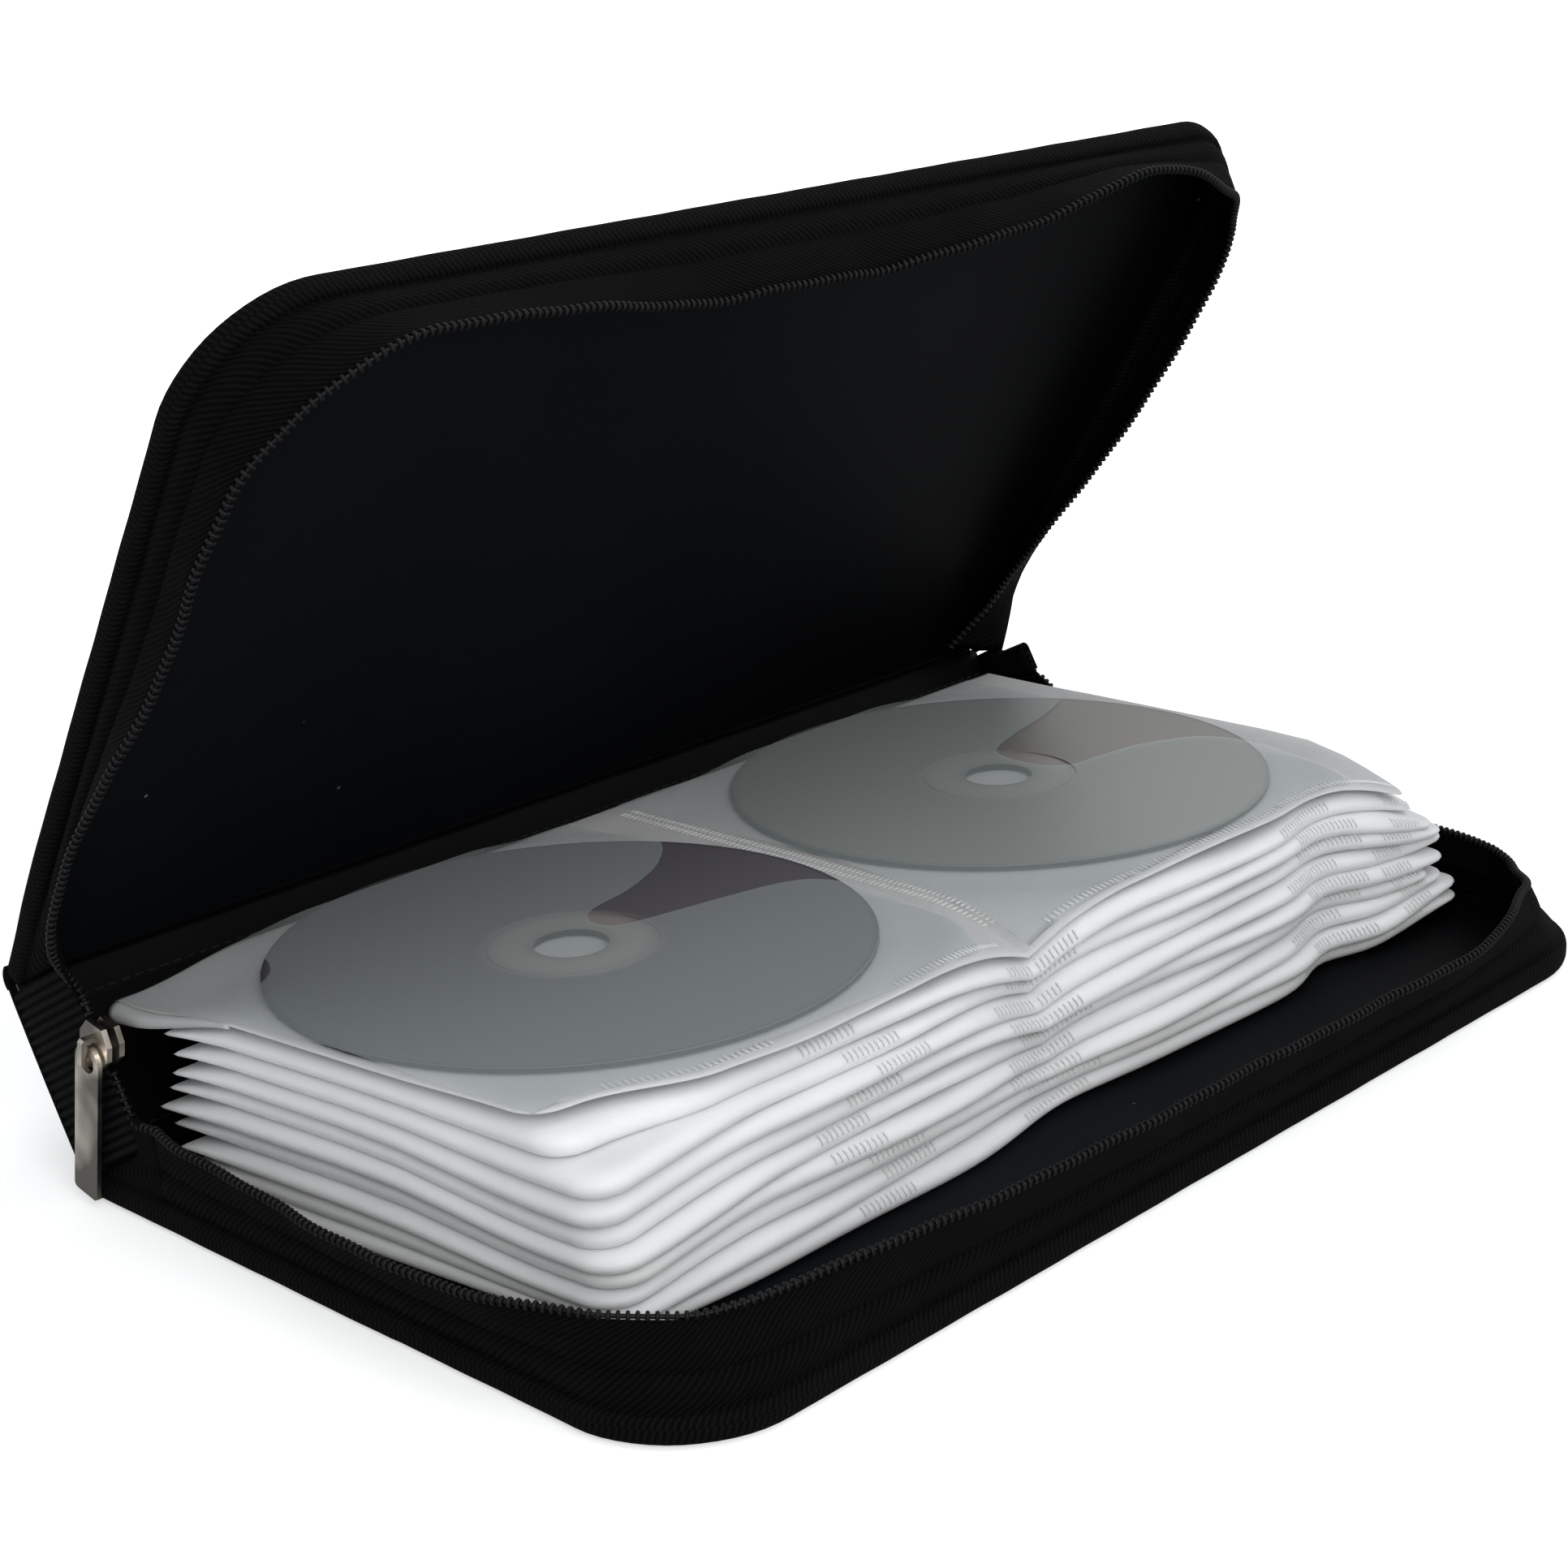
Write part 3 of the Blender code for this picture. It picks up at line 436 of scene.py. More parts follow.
def lining_finish():
    """Fine grain, a painted sheen that makes the tone brighter at the left and darker to the right, and
    specks of dust.
    """
    made, tree, shader = new_finish("coated_lining", {"Roughness": 0.55, "Specular IOR Level": 0.035})
    place = place_in(tree)
    tint = ramp(tree, noise(tree, place, 9.0, 4.0), (0.35, (0.0021, 0.0026, 0.0034)),
                (0.65, (0.0031, 0.0037, 0.0047)))
    parts = node(tree, "ShaderNodeSeparateXYZ", {0: place})
    # Painted sheen: the colour is scaled up at the left and down towards the right.
    painted_sheen = ranged(tree, parts.outputs["X"], 1.9, 0.38, -145.0 * MM, 120.0 * MM)
    specks = node(tree, "ShaderNodeTexVoronoi", {"Vector": place, "Scale": 55.0})
    dust = ramp(tree, specks.outputs["Distance"], (0.018, (1.0, 1.0, 1.0)), (0.026, (0.0, 0.0, 0.0)))
    colour = mixed(tree, dust, scaled(tree, tint, painted_sheen), (0.12, 0.12, 0.13, 1.0))
    grain = bump(tree, noise(tree, place, 900.0, 3.0), 0.12, 0.15 * MM)
    feed(tree, shader, {"Normal": grain, "Base Color": colour})
    return made


def outline_grid(inset, rear, columns, rows):
    """Grid over a cover's plan: rows from the fold outwards, each as wide as the plan there."""
    half = CASE_HALF - inset
    reach_end = COVER_REACH - inset
    radius = CORNER - inset
    grid = []
    for r in range(rows + 1):
        share = r / rows
        share = share + 0.12 * sin(2 * pi * share) * 0.5 * share
        reach = rear + (reach_end - rear) * min(1.0, share)
        width = half
        if reach > reach_end - radius:
            over = reach - (reach_end - radius)
            width = half - radius + sqrt(max(0.0, radius ** 2 - over ** 2))
        grid.append([(-width + 2 * width * c / columns, reach) for c in range(columns + 1)])
    return grid


def lining_rise(x, reach):
    """Height of the lining in mm: soft waves and one crease, calm by the edge."""
    edge = min(CASE_HALF - abs(x), COVER_REACH - reach) / (12 * MM)
    calm = min(1.0, max(0.0, edge - 0.3))
    wave = 0.25 * sin(x * 31 + reach * 46 + 0.6) + 0.2 * sin(x * 57 - reach * 30)
    crease = 0.35 * bell((x * 0.55 + reach - 0.105) / 0.005)
    return LINING_RISE + calm * (0.18 * wave + 0.2 * crease)


lining_black = lining_finish()
for side, body in SIDES:
    grid = outline_grid(3.9 * MM, 0.4 * MM, 72, 44)
    rows = [[on_cover(side, x, reach, lining_rise(x, reach) * MM) for x, reach in line]
            for line in grid]
    along = [line[0][1] for line in grid]
    across = spread(0.0, 2 * CASE_HALF, 72)
    piece = put_piece(side + "_lining", skin(side + "_lining", rows, along, across),
                      lining_black)
    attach(piece, body)
    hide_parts(side + "_cover_lining")


# ---------------------------------------------------------------------------------------
# Binding: a ribbed black tape folded over the covers' edge and sewn down. Its ribs lie
# aslant, and its two ends overlap in a step.
# ---------------------------------------------------------------------------------------

def ribbed_finish(name, colour, pitch, depth, slant, roughness=0.85, painted_rib_contrast=0.6):
    """Cloth with raised ribs across its own UV, turned by slant, with painted highlight on their crests
    and painted shade in their grooves.
    """
    made = cloth_finish(name, colour, roughness, 0.5 * MM, 0.25, source="UV", mottle=0.2)
    tree = made.node_tree
    shader = tree.nodes["Principled BSDF"]
    weave, plain = (shader.inputs[key].links[0].from_socket for key in ("Normal", "Base Color"))
    turned = node(tree, "ShaderNodeMapping", {"Vector": place_in(tree, "UV"),
                                              "Rotation": (0.0, 0.0, slant)})
    ribs = waves(tree, turned, pitch, "X", 0.5, 2.0)
    # Painted highlight and shade: the colour is scaled up on the rib crests and down in the grooves.
    painted_rib_light = ranged(tree, ribs, 1.0 - painted_rib_contrast, 1.0 + 1.6 * painted_rib_contrast)
    feed(tree, shader, {"Normal": bump(tree, ribs, 0.8, depth, Normal=weave),
                        "Base Color": scaled(tree, plain, painted_rib_light)})
    return made


binding_black = ribbed_finish("ribbed_binding", (0.0040, 0.0040, 0.0046), 1.15 * MM, 0.3 * MM,
                              radians(24))
binding_sides = 18
overlap_at = {"lower": 92.0, "upper": 520.0}
for side, body in SIDES:
    stations = edge_walk(3.0 * MM, FOLD_GAP)
    rows = []
    for x, reach, out_x, out_reach, run in stations:
        past = run / MM - overlap_at[side]
        step = 0.32 * min(1.0, max(0.0, 0.5 - past))
        puff = step + 0.07 * sin(run * 190) + 0.05 * sin(run * 410)
        ring = []
        for k in range(binding_sides):
            turn = 2 * pi * (k + 0.5) / binding_sides
            wide = copysign(abs(cos(turn)) ** 0.75, cos(turn))
            tall = copysign(abs(sin(turn)) ** 0.8, sin(turn))
            inset = 1.25 - (1.3 + 0.6 * puff) * wide
            rise = 2.85 + (2.6 + 0.3 * puff) * tall
            ring.append(on_cover(side, x - out_x * inset * MM, reach - out_reach * inset * MM,
                                 rise * MM))
        rows.append(ring)
    around = [2 * pi * 2.0 * MM * k / binding_sides for k in range(binding_sides + 1)]
    mesh = skin(side + "_binding", rows, [s[4] for s in stations], around, wrap=True, capped=True)
    piece = put_piece(side + "_binding", mesh, binding_black)
    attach(piece, body)
    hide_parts(side + "_edge_binding")


# ---------------------------------------------------------------------------------------
# Zip tape: a wall of black twill that stands on the binding. A seam creases it lengthwise,
# and its free edge leans in and out, by so many mm at so many mm along it from the left fold.
# ---------------------------------------------------------------------------------------

twill_black = ribbed_finish("twill_tape", (0.0030, 0.0030, 0.0034), 1.0 * MM, 0.34 * MM,
                            radians(52))
coil_lean = {
    "lower": ((0, 1.0), (18, 0.5), (26, -2.0), (56, -4.2), (82, -5.8), (105, -6.2), (118, -5.5),
              (131, -2.5), (143, 3.0), (152, 6.0), (165, 7.4), (178, 6.2), (190, 2.6), (204, 0.2),
              (223, -1.8), (242, -3.2), (265, -4.0), (300, -4.4), (341, -5.4), (375, -6.2),
              (392, -4.8), (403, -1.0), (414, 3.2), (425, 6.2), (437, 7.0), (450, 6.0),
              (464, 4.4), (482, 2.4), (520, -0.5), (560, 0.5), (594, 1.0)),
    "upper": ((0, 1.0), (13, -4.6), (27, -7.2), (40, -8.8), (53, -9.0), (66, -8.0), (82, -5.0),
              (95, -2.5), (110, -2.0), (125, -1.6), (141, 1.3), (153, 3.9), (164, 4.2), (173, 2.1),
              (181, -1.6), (190, -3.2), (207, -2.7), (220, -1.6), (236, 1.0), (258, 4.4),
              (285, 4.6), (306, 5.2), (328, 3.0), (351, -0.5), (364, -3.8), (377, -6.2),
              (390, -6.4), (399, -4.6), (411, 1.4), (424, 6.8), (440, 9.6), (461, 9.2), (483, 8.8),
              (503, 9.8), (525, 12.0), (545, 13.8), (566, 15.2), (594, 15.2))}
TAPE_FOOT = 5.0
TAPE_RUN = 16.0
COIL_AT = 16.2
COIL_OUT = 0.15


def tape_spot(side, station, height, offset=0.0):
    """A point of the standing tape: height along it from its foot, offset towards the inside."""
    x, reach, out_x, out_reach, run = station
    lean = between(coil_lean[side], run / MM)
    lift = sqrt(max(1.0, TAPE_RUN ** 2 - lean ** 2))
    share = height / TAPE_RUN
    bend = 1.0 - cos(0.5 * pi * share)
    straight = 0.35 + 0.4 * eased(lean / 6.0)
    inset = 1.1 + lean * (straight * share + (1.0 - straight) * bend)
    if side == "lower":
        inset += 3.0 * eased(height / 5.0) * bell((run / MM - 440.0) / 22.0)
    rise = TAPE_FOOT + lift * (0.65 * share + 0.35 * sin(0.5 * pi * share))
    inset += offset
    return on_cover(side, x - out_x * inset * MM, reach - out_reach * inset * MM, rise * MM)


def flutter(run):
    """Small waves of the tape's free edge, in mm."""
    return 0.25 * sin(run * 130) + 0.2 * sin(run * 291 + 1.0)


tape_steps = ((0.0, 0.1), (0.9, 0.75), (1.8, 0.1), (3.2, -0.35), (4.6, -0.3), (5.6, 0.25),
              (6.2, 0.8), (6.9, 0.35), (8.2, 0.0), (10.4, -0.05), (12.8, 0.0), (15.5, 0.0))
tape_across = [high * MM for high, _ in tape_steps]
tape_start = {"lower": 23.2, "upper": 30.3}
tape_stations = {}
for side, body in SIDES:
    stations = edge_walk(2.5 * MM, tape_start[side] * MM)
    tape_stations[side] = stations
    rows = []
    for station in stations:
        wave = flutter(station[4]) / TAPE_RUN
        rows.append([tape_spot(side, station, high, off + wave * high) for high, off in tape_steps])
    piece = cloth_piece(side + "_tape", rows, [s[4] for s in stations], tape_across,
                        twill_black, 0.7 * MM)
    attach(piece, body)
    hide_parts(side + "_zip_tape")


# ---------------------------------------------------------------------------------------
# Zip coils: black nylon monofilament wound into a coil and sewn along the tape's edge, one
# tooth every two millimetres.
# ---------------------------------------------------------------------------------------

def plain_finish(name, colour, roughness, specular, metallic=0.0):
    """Plastic or metal with a little unevenness in its gloss."""
    made, tree, shader = new_finish(name, {
        "Base Color": (*colour, 1.0), "Specular IOR Level": specular, "Metallic": metallic})
    gloss = ranged(tree, noise(tree, place_in(tree), 300.0), roughness - 0.08, roughness + 0.08)
    feed(tree, shader, {"Roughness": gloss})
    return made


coil_black = plain_finish("coil_nylon", (0.0034, 0.0034, 0.0040), 0.45, 0.14)
COIL_PITCH = 1.6 * MM
COIL_RADIUS = 1.0 * MM
COIL_WIRE = 0.42 * MM


def line_object(name, points):
    """Poly line as a mesh of edges, for Geometry Nodes to follow."""
    mesh = bpy.data.meshes.new(name)
    mesh.from_pydata([tuple(p) for p in points], [(k, k + 1) for k in range(len(points) - 1)], [])
    return linked(name, mesh)


def start_tree(name, sizes):
    """Geometry Nodes that follow a line: the tree, its inputs, the curve and places on it."""
    tree = bpy.data.node_groups.new(name, "GeometryNodeTree")
    sockets = [("Line", "Geometry"), *[(size, "Float") for size in sizes], ("Finish", "Material")]
    for label, kind in sockets:
        tree.interface.new_socket(label, in_out="INPUT", socket_type="NodeSocket" + kind)
    tree.interface.new_socket("Result", in_out="OUTPUT", socket_type="NodeSocketGeometry")
    given = node(tree, "NodeGroupInput").outputs
    curve = node(tree, "GeometryNodeMeshToCurve", {"Mesh": given["Line"]})
    places = node(tree, "GeometryNodeResampleCurve", {"Curve": curve, "Length": given["Pitch"]},
                  mode="LENGTH")
    return tree, given, curve, places


def end_tree(tree, given, shape):
    """Makes the shape real, gives it its finish and hands it out."""
    real = node(tree, "GeometryNodeRealizeInstances", {0: shape})
    painted = node(tree, "GeometryNodeSetMaterial", {"Geometry": real, "Material": given["Finish"]})
    node(tree, "NodeGroupOutput", {0: painted})
    return tree


def circle(tree, radius, sides):
    return node(tree, "GeometryNodeCurvePrimitiveCircle", {"Resolution": sides, "Radius": radius})


def coil_tree():
    """Rings set along a line at a pitch, on a thin core cord."""
    tree, given, curve, places = start_tree("zip_coil", ("Pitch", "Coil Radius", "Wire Radius"))
    tooth = node(tree, "GeometryNodeCurveToMesh", {
        "Curve": circle(tree, given["Coil Radius"], 10),
        "Profile Curve": circle(tree, given["Wire Radius"], 6)})
    tangent = node(tree, "GeometryNodeInputTangent")
    facing = node(tree, "FunctionNodeAlignEulerToVector", {"Vector": tangent}, axis="Z")
    teeth = node(tree, "GeometryNodeInstanceOnPoints",
                 {"Points": places, "Instance": tooth, "Rotation": facing})
    thin = maths(tree, "MULTIPLY", given["Coil Radius"], 0.72)
    core = node(tree, "GeometryNodeCurveToMesh", {
        "Curve": curve, "Profile Curve": circle(tree, thin, 6), "Fill Caps": True})
    both = node(tree, "GeometryNodeJoinGeometry", {0: teeth})
    feed(tree, both, {0: core})
    return end_tree(tree, given, both)


def grown(thing, tree, values):
    """Runs a node tree on an object and keeps the result as its plain mesh."""
    growth = thing.modifiers.new(tree.name, "NODES")
    growth.node_group = tree
    for item in tree.interface.items_tree:
        if item.item_type == "SOCKET" and item.name in values:
            growth[item.identifier] = values[item.name]
    return settled(thing, growth)


zip_coil = coil_tree()
coil_sizes = {"Pitch": COIL_PITCH, "Coil Radius": COIL_RADIUS - COIL_WIRE, "Wire Radius": COIL_WIRE,
              "Finish": coil_black}
for side, body in SIDES:
    points = [tape_spot(side, station, COIL_AT, COIL_OUT + flutter(station[4]))
              for station in edge_walk(1.5 * MM, tape_start[side] * MM)]
    piece = grown(line_object(side + "_coil", points), zip_coil, coil_sizes)
    piece.data.shade_smooth()
    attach(piece, body)
    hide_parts(side + "_zip_coil")


# ---------------------------------------------------------------------------------------
# Spine: the outer nylon between the covers, which bends at both folds, and inside it a
# smooth black strip sewn down along two ridges.
# ---------------------------------------------------------------------------------------

SPINE_TURN = radians(-28.4)
SPINE_HIGH = 42.0
RIDGES = (6.7, 35.3)
spine_back = Vector((0.0, cos(SPINE_TURN), sin(SPINE_TURN)))
spine_up = Vector((0.0, -sin(SPINE_TURN), cos(SPINE_TURN)))


def on_spine(x, depth, height):
    """A point of the spine: along it, forward (negative) or back of its inner face, and up it."""
    return LOWER_FOLD + Vector((x, 0.0, 0.0)) + spine_back * (depth * MM) + spine_up * (height * MM)


strip_black = cloth_finish("smooth_strip", (0.0028, 0.0028, 0.0031), 0.5, 0.45 * MM, 0.1,
                           specular=0.05, mottle=0.3)
half = CASE_HALF - 0.5 * MM
strip_profile = [(0.35 - 0.28 * sum(bell((height - h) / 0.7) for h in RIDGES), height)
                 for height in spread(0.1, SPINE_HIGH - 0.1, 42)]
along = spread(-half, half, 96)
rows = [[on_spine(x, depth + 0.12 * sin(x * 60 + height * 0.12), height)
         for depth, height in strip_profile] for x in along]
piece = cloth_piece("spine_strip", rows, along, [h * MM for _, h in strip_profile],
                    strip_black, 0.35 * MM, -1.0)
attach(piece, "spine")
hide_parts("spine_inner_strip")
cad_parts["spine_board"].material_slots[0].material = board_grey

cloth_profile = [(2.35, 0.4), (2.6, 4.0), (2.75, 12.0), (2.8, 21.0), (2.75, 30.0), (2.6, 38.0),
                 (2.35, 41.6)]
half = CASE_HALF + 0.4 * MM
along = spread(-half, half, 60)
rows = [[on_spine(x, depth, height) for depth, height in cloth_profile] for x in along]
spine_cloth = cloth_piece("spine_cloth", rows, along, [h * MM for _, h in cloth_profile],
                          nylon, 0.8 * MM)
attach(spine_cloth, "spine")
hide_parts("spine_shell")

FOLD_PLACES = (("lower_fold_cloth", LOWER_FOLD, -104.0, -14.0, 3.5, 3.0, "lower_cover", "spine"),
               ("upper_fold_cloth", UPPER_FOLD, -42.0, 47.0, 3.0, 3.5, "spine", "lid"))
for name, centre, turn_from, turn_to, reach_from, reach_to, before, after in FOLD_PLACES:
    turns = [radians(turn) for turn in spread(turn_from, turn_to, 12)]
    ring = [Vector((0.0, cos(turn), sin(turn))) * reach * MM
            for turn, reach in zip(turns, spread(reach_from, reach_to, 12))]
    rows = [[centre + Vector((x, 0.0, 0.0)) + spot for spot in ring] for x in along]
    piece = cloth_piece(name, rows, along, spread(0.0, 5.0 * MM, 12), nylon, 0.7 * MM)
    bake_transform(piece)


# ---------------------------------------------------------------------------------------
# End gussets: black grosgrain with ribs across it, sewn between the spine's ends and the
# zip, and the folded end of the zip tape on the right one.
# ---------------------------------------------------------------------------------------

GUSSET_RIB = 1.9
GUSSET_X = CASE_HALF - 1.2 * MM
grosgrain = ribbed_finish("grosgrain", (0.0052, 0.0052, 0.0057), GUSSET_RIB * MM, 0.5 * MM, 0.0,
                          roughness=0.8, painted_rib_contrast=0.8)


def gusset_point(end, share, high):
    """Depth and height on a gusset, from the spine (0) to its free edge (1).

    The right one is cut away at its upper free corner, where the zip's end is folded in.
    """
    if end < 0:
        return 2.6 - 22.4 * share, high
    depth = 2.6 - (23.2 - 3.6 * eased((high - 22.0) / 12.0)) * share
    return depth, high - (high / SPINE_HIGH) ** 2 * 5.0 * eased((share - 0.25) / 0.75)


for name, end in (("left_end_gusset", -1), ("right_end_gusset", 1)):
    highs = spread(2.0, SPINE_HIGH - 2.0, 80)
    rows = []
    for high in highs:
        row = []
        for share in spread(0.0, 1.0, 24):
            bow = 0.35 * sin(pi * share) + 0.9 * (1 - share)
            inset = 1.0 + 0.22 * cos(2 * pi * high / GUSSET_RIB) - bow
            row.append(on_spine(end * (CASE_HALF - inset * MM), *gusset_point(end, share, high)))
        rows.append(row)
    piece = cloth_piece(name + "_cloth", rows, [high * MM for high in highs], spread(0.0, 19.2 * MM, 24),
                        grosgrain, 0.6 * MM)
    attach(piece, "spine")
    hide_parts(name)

rows = []
for k in range(9):
    depth = -4.0 - 12.6 * k / 8
    top = 36.9 - 0.6 * k / 8
    row = []
    for c in range(17):
        turn = pi * (c - 4) / 8
        if c < 4:
            side_x, height = -1.25, top - 6.0 * (4 - c) / 4
        elif c > 12:
            side_x, height = 1.25, top - 6.0 * (c - 12) / 4
        else:
            side_x, height = -1.25 * cos(turn), top + 1.25 * sin(turn)
        row.append(on_spine(CASE_HALF - (0.8 - side_x) * MM, depth, height))
    rows.append(row)
piece = cloth_piece("zip_end_fold", rows, [1.6 * MM * k for k in range(9)],
                    [1.2 * MM * c for c in range(17)], twill_black, 0.5 * MM)
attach(piece, "spine")
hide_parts("zip_end_tab")


# ---------------------------------------------------------------------------------------
# Corners of the zip: from the end of each tape the cloth and the coil run on over the fold
# to the gusset's free edge, where the slider sits on the left and the zip's end on the right.
# ---------------------------------------------------------------------------------------

def gusset_edge(end, share, upper):
    """A point on a gusset's edge: out from the fold along its end, then along its free edge.

    On the right the lid's tape is folded back and its coil is tucked in over the lining.
    """
    x = end * GUSSET_X
    height, sign = (41.2, -1.0) if upper else (0.8, 1.0)
    if upper and end > 0:
        out = min(1.0, share / 0.55)
        spot = on_spine(x - 1.5 * MM * out, -0.6 - 10.0 * out, height - 3.0 * out)
        tucked = on_cover("upper", 123.0 * MM, 12.0 * MM, 8.0 * MM)
        return spot.lerp(tucked, max(0.0, (share - 0.55) / 0.45))
    if share < 0.6:
        return on_spine(x, -0.6 - 18.6 * share / 0.6, height)
    past = (share - 0.6) / 0.4
    return on_spine(x, -19.2 - 0.5 * past, height + sign * 9.4 * past)


def swept(start, start_way, stop, stop_way, count):
    """Points on a smooth curve that leaves and arrives along two directions."""
    first = start + start_way * 5.0 * MM
    last = stop - stop_way * 5.0 * MM
    points = []
    for k in range(count + 1):
        t = k / count
        points.append(start * (1 - t) ** 3 + first * 3 * t * (1 - t) ** 2
                      + last * 3 * t * t * (1 - t) + stop * t ** 3)
    return points


for side, body in SIDES:
    upper = side == "upper"
    for end, place in ((-1, 0), (1, -1)):
        hand = "left" if end < 0 else "right"
        station = tape_stations[side][place]
        rows = []
        for share in spread(0.0, 1.0, 12):
            bow = Vector((end * 0.5 * MM * sin(pi * share), 0.0, 0.0))
            row = []
            for high, off in tape_steps:
                far = gusset_edge(end, high / tape_steps[-1][0], upper)
                row.append(tape_spot(side, station, high, off).lerp(far, share) + bow)
            rows.append(row)
        name = "%s_%s_corner" % (side, hand)
        piece = cloth_piece(name + "_cloth", rows, [k * 1.3 * MM for k in range(13)], tape_across,
                            twill_black, 0.6 * MM)
        start = tape_spot(side, station, 8.0)
        stop = start.lerp(gusset_edge(end, 0.6, upper), 0.9)
        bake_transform(piece)
        coil_from = tape_spot(side, station, COIL_AT, COIL_OUT)
        coil_to = on_spine(end * GUSSET_X, -20.9, 31.8 if upper else 10.2)
        way = -lid_away if upper else Vector((0.0, 1.0, 0.0))
        points = swept(coil_from, way, coil_to, -spine_up if upper else spine_up, 12)
        if upper and end > 0:
            coil_to = on_cover("upper", 122.5 * MM, 12.0 * MM, 9.0 * MM)
            points = swept(coil_from, way, coil_to, (coil_to - coil_from).normalized(), 12)
        piece = grown(line_object(name + "_coil", points), zip_coil, coil_sizes)
        if upper and end > 0:
            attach(piece, body)
        else:
            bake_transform(piece)

for name, end, low, high in (("left_gusset_coil_low", -1, 10.2, 17.2),
                             ("left_gusset_coil_high", -1, 29.6, 31.8),
                             ("right_gusset_coil", 1, 10.4, 30.0)):
    points = []
    for place in spread(low, high, 10):
        depth, height = gusset_point(end, 1.0, place)
        past = 1.1 if end < 0 else 0.3
        points.append(on_spine(end * GUSSET_X, depth - past, height))
    piece = grown(line_object(name + "_turns", points), zip_coil, coil_sizes)
    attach(piece, "spine")
    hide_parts(name)


# ---------------------------------------------------------------------------------------
# Sleeves: a stack of soft leaves, each of white nonwoven between two milky films, welded at
# the edges. They are thin at the spine and at their corners and swell towards the front.
# ---------------------------------------------------------------------------------------

DISC_SPOTS = ((-70.5, 21.5), (58.0, 21.5))
DISC_RADIUS = 60.0 * MM
LEAVES = 9
LEAF_PITCH = 4.05
LOWEST_LEAF = 6.0
TOP_HEIGHT = 42.6
LEAF_LEFT = -136.8
SEAM_X = -6.25
SEAM_HEIGHT = 42.95
LEAF_RIGHTS = (135.5, 136.5, 133.0, 125.5, 132.5, 136.2, 134.0, 130.5, 127.0, 123.5)


def leaf_bounds(k):
    """Left, right, rear and front of a leaf in mm. Leaf 0 is the lowest, LEAVES the top one."""
    level = k / LEAVES
    loose = 0.0 if k == LEAVES else 1.0
    left = LEAF_LEFT + loose * 0.8 * sin(k * 2.7)
    right = LEAF_RIGHTS[k]
    rear = 80.5 if k == LEAVES else 65.5 + 2.6 * sin(k * 5.1)
    return left, right, rear, -50.0 + 6.0 * level - 0.8 * sin(pi * level)


def leaf_front(k, x):
    """Where a leaf's front edge runs: drawn in at the seam and dented beside the right disc."""
    level = k / LEAVES
    front = leaf_bounds(k)[3] + 4.0 * bell((x - SEAM_X) / 22.0)
    front += (1.0 - 0.5 * level) * 4.5 * bell((x - 88.0) / 11.0)
    front += 1.1 * sin(k * 2.1 + x / 37.0) + 0.5 * sin(k * 4.7 + x / 14.0)
    return front


def leaf_drop(x, y):
    """How far the top leaf sinks outside the discs, in mm. Spine and left corner are held up."""
    away = min(dist((x, y), spot) for spot in DISC_SPOTS)
    rear_tip = 3.0 * eased((-104.0 - x) / 30.0) * eased((y - 45.0) / 30.0)
    depth = 11.0 * (0.1 + 0.9 * eased((x + 112.0) / 70.0))
    return depth * eased((away - 72.0) / 29.0) * eased((78.0 - y) / 55.0) + rear_tip


def askew(k, x, y):
    """Moves a point of a leaf's plan: the leaves lie askew on the left and narrow on the right."""
    level = k / LEAVES
    back = eased((level - 0.72) / 0.28) * eased((5.0 - y) / 40.0)
    x_new = x + 10.0 * min(1.0, max(0.0, (70.0 - y) / 115.0)) * eased((-60.0 - x) / 75.0)
    y_new = y + back * (8.5 * eased((-98.0 - x) / 32.0) + 2.0 * eased((-70.0 - x) / 30.0))
    if k < LEAVES:
        x_new -= 6.0 * eased((y + 5.0) / 35.0) * eased((x - 60.0) / 70.0)
    return x_new, y_new


def corner_fan(x, y):
    """One at the left front corner, where the leaves fan out, and none elsewhere."""
    return eased((-85.0 - x) / 45.0) * eased((15.0 - y) / 50.0)


def leaf_height(k, x, y):
    """Height of a leaf's middle: the stack's own rise, less the sag that grows upwards."""
    level = k / LEAVES
    if k == LEAVES:
        return TOP_HEIGHT - leaf_drop(x, y)
    ripple = 0.28 * sin(k * 1.7 + x / 29.0) + 0.14 * sin(k * 3.1 + x / 13.0)
    forward = eased((40.0 - y) / 60.0)
    lifted = 3.0 * (1.0 - level) * eased((x - 98.0) / 38.0)
    fan = 4.2 * sin(pi * level) * corner_fan(x, y)
    return LOWEST_LEAF + LEAF_PITCH * k + ripple * forward + lifted - fan - level * leaf_drop(x, y)


def leaf_places(k, x, inset):
    """Point of a leaf's plan from x and a share of the way in from its front edge."""
    left, right, rear, _ = leaf_bounds(k)
    corner = 9.0 - 2.0 * k / LEAVES if x < 0 else 5.0
    edge = min(x - left, right - x)
    cut = 0.0
    if edge < corner:
        cut = corner - sqrt(max(0.0, corner ** 2 - (corner - edge) ** 2))
    front = leaf_front(k, x) + cut
    y = front + (rear - front) * inset
    across = min(edge, rear - y)
    down = y - leaf_front(k, x)
    if edge < corner and down < corner:
        return y, min(across, max(0.0, corner - hypot(corner - edge, corner - down)))
    return y, min(across, down)


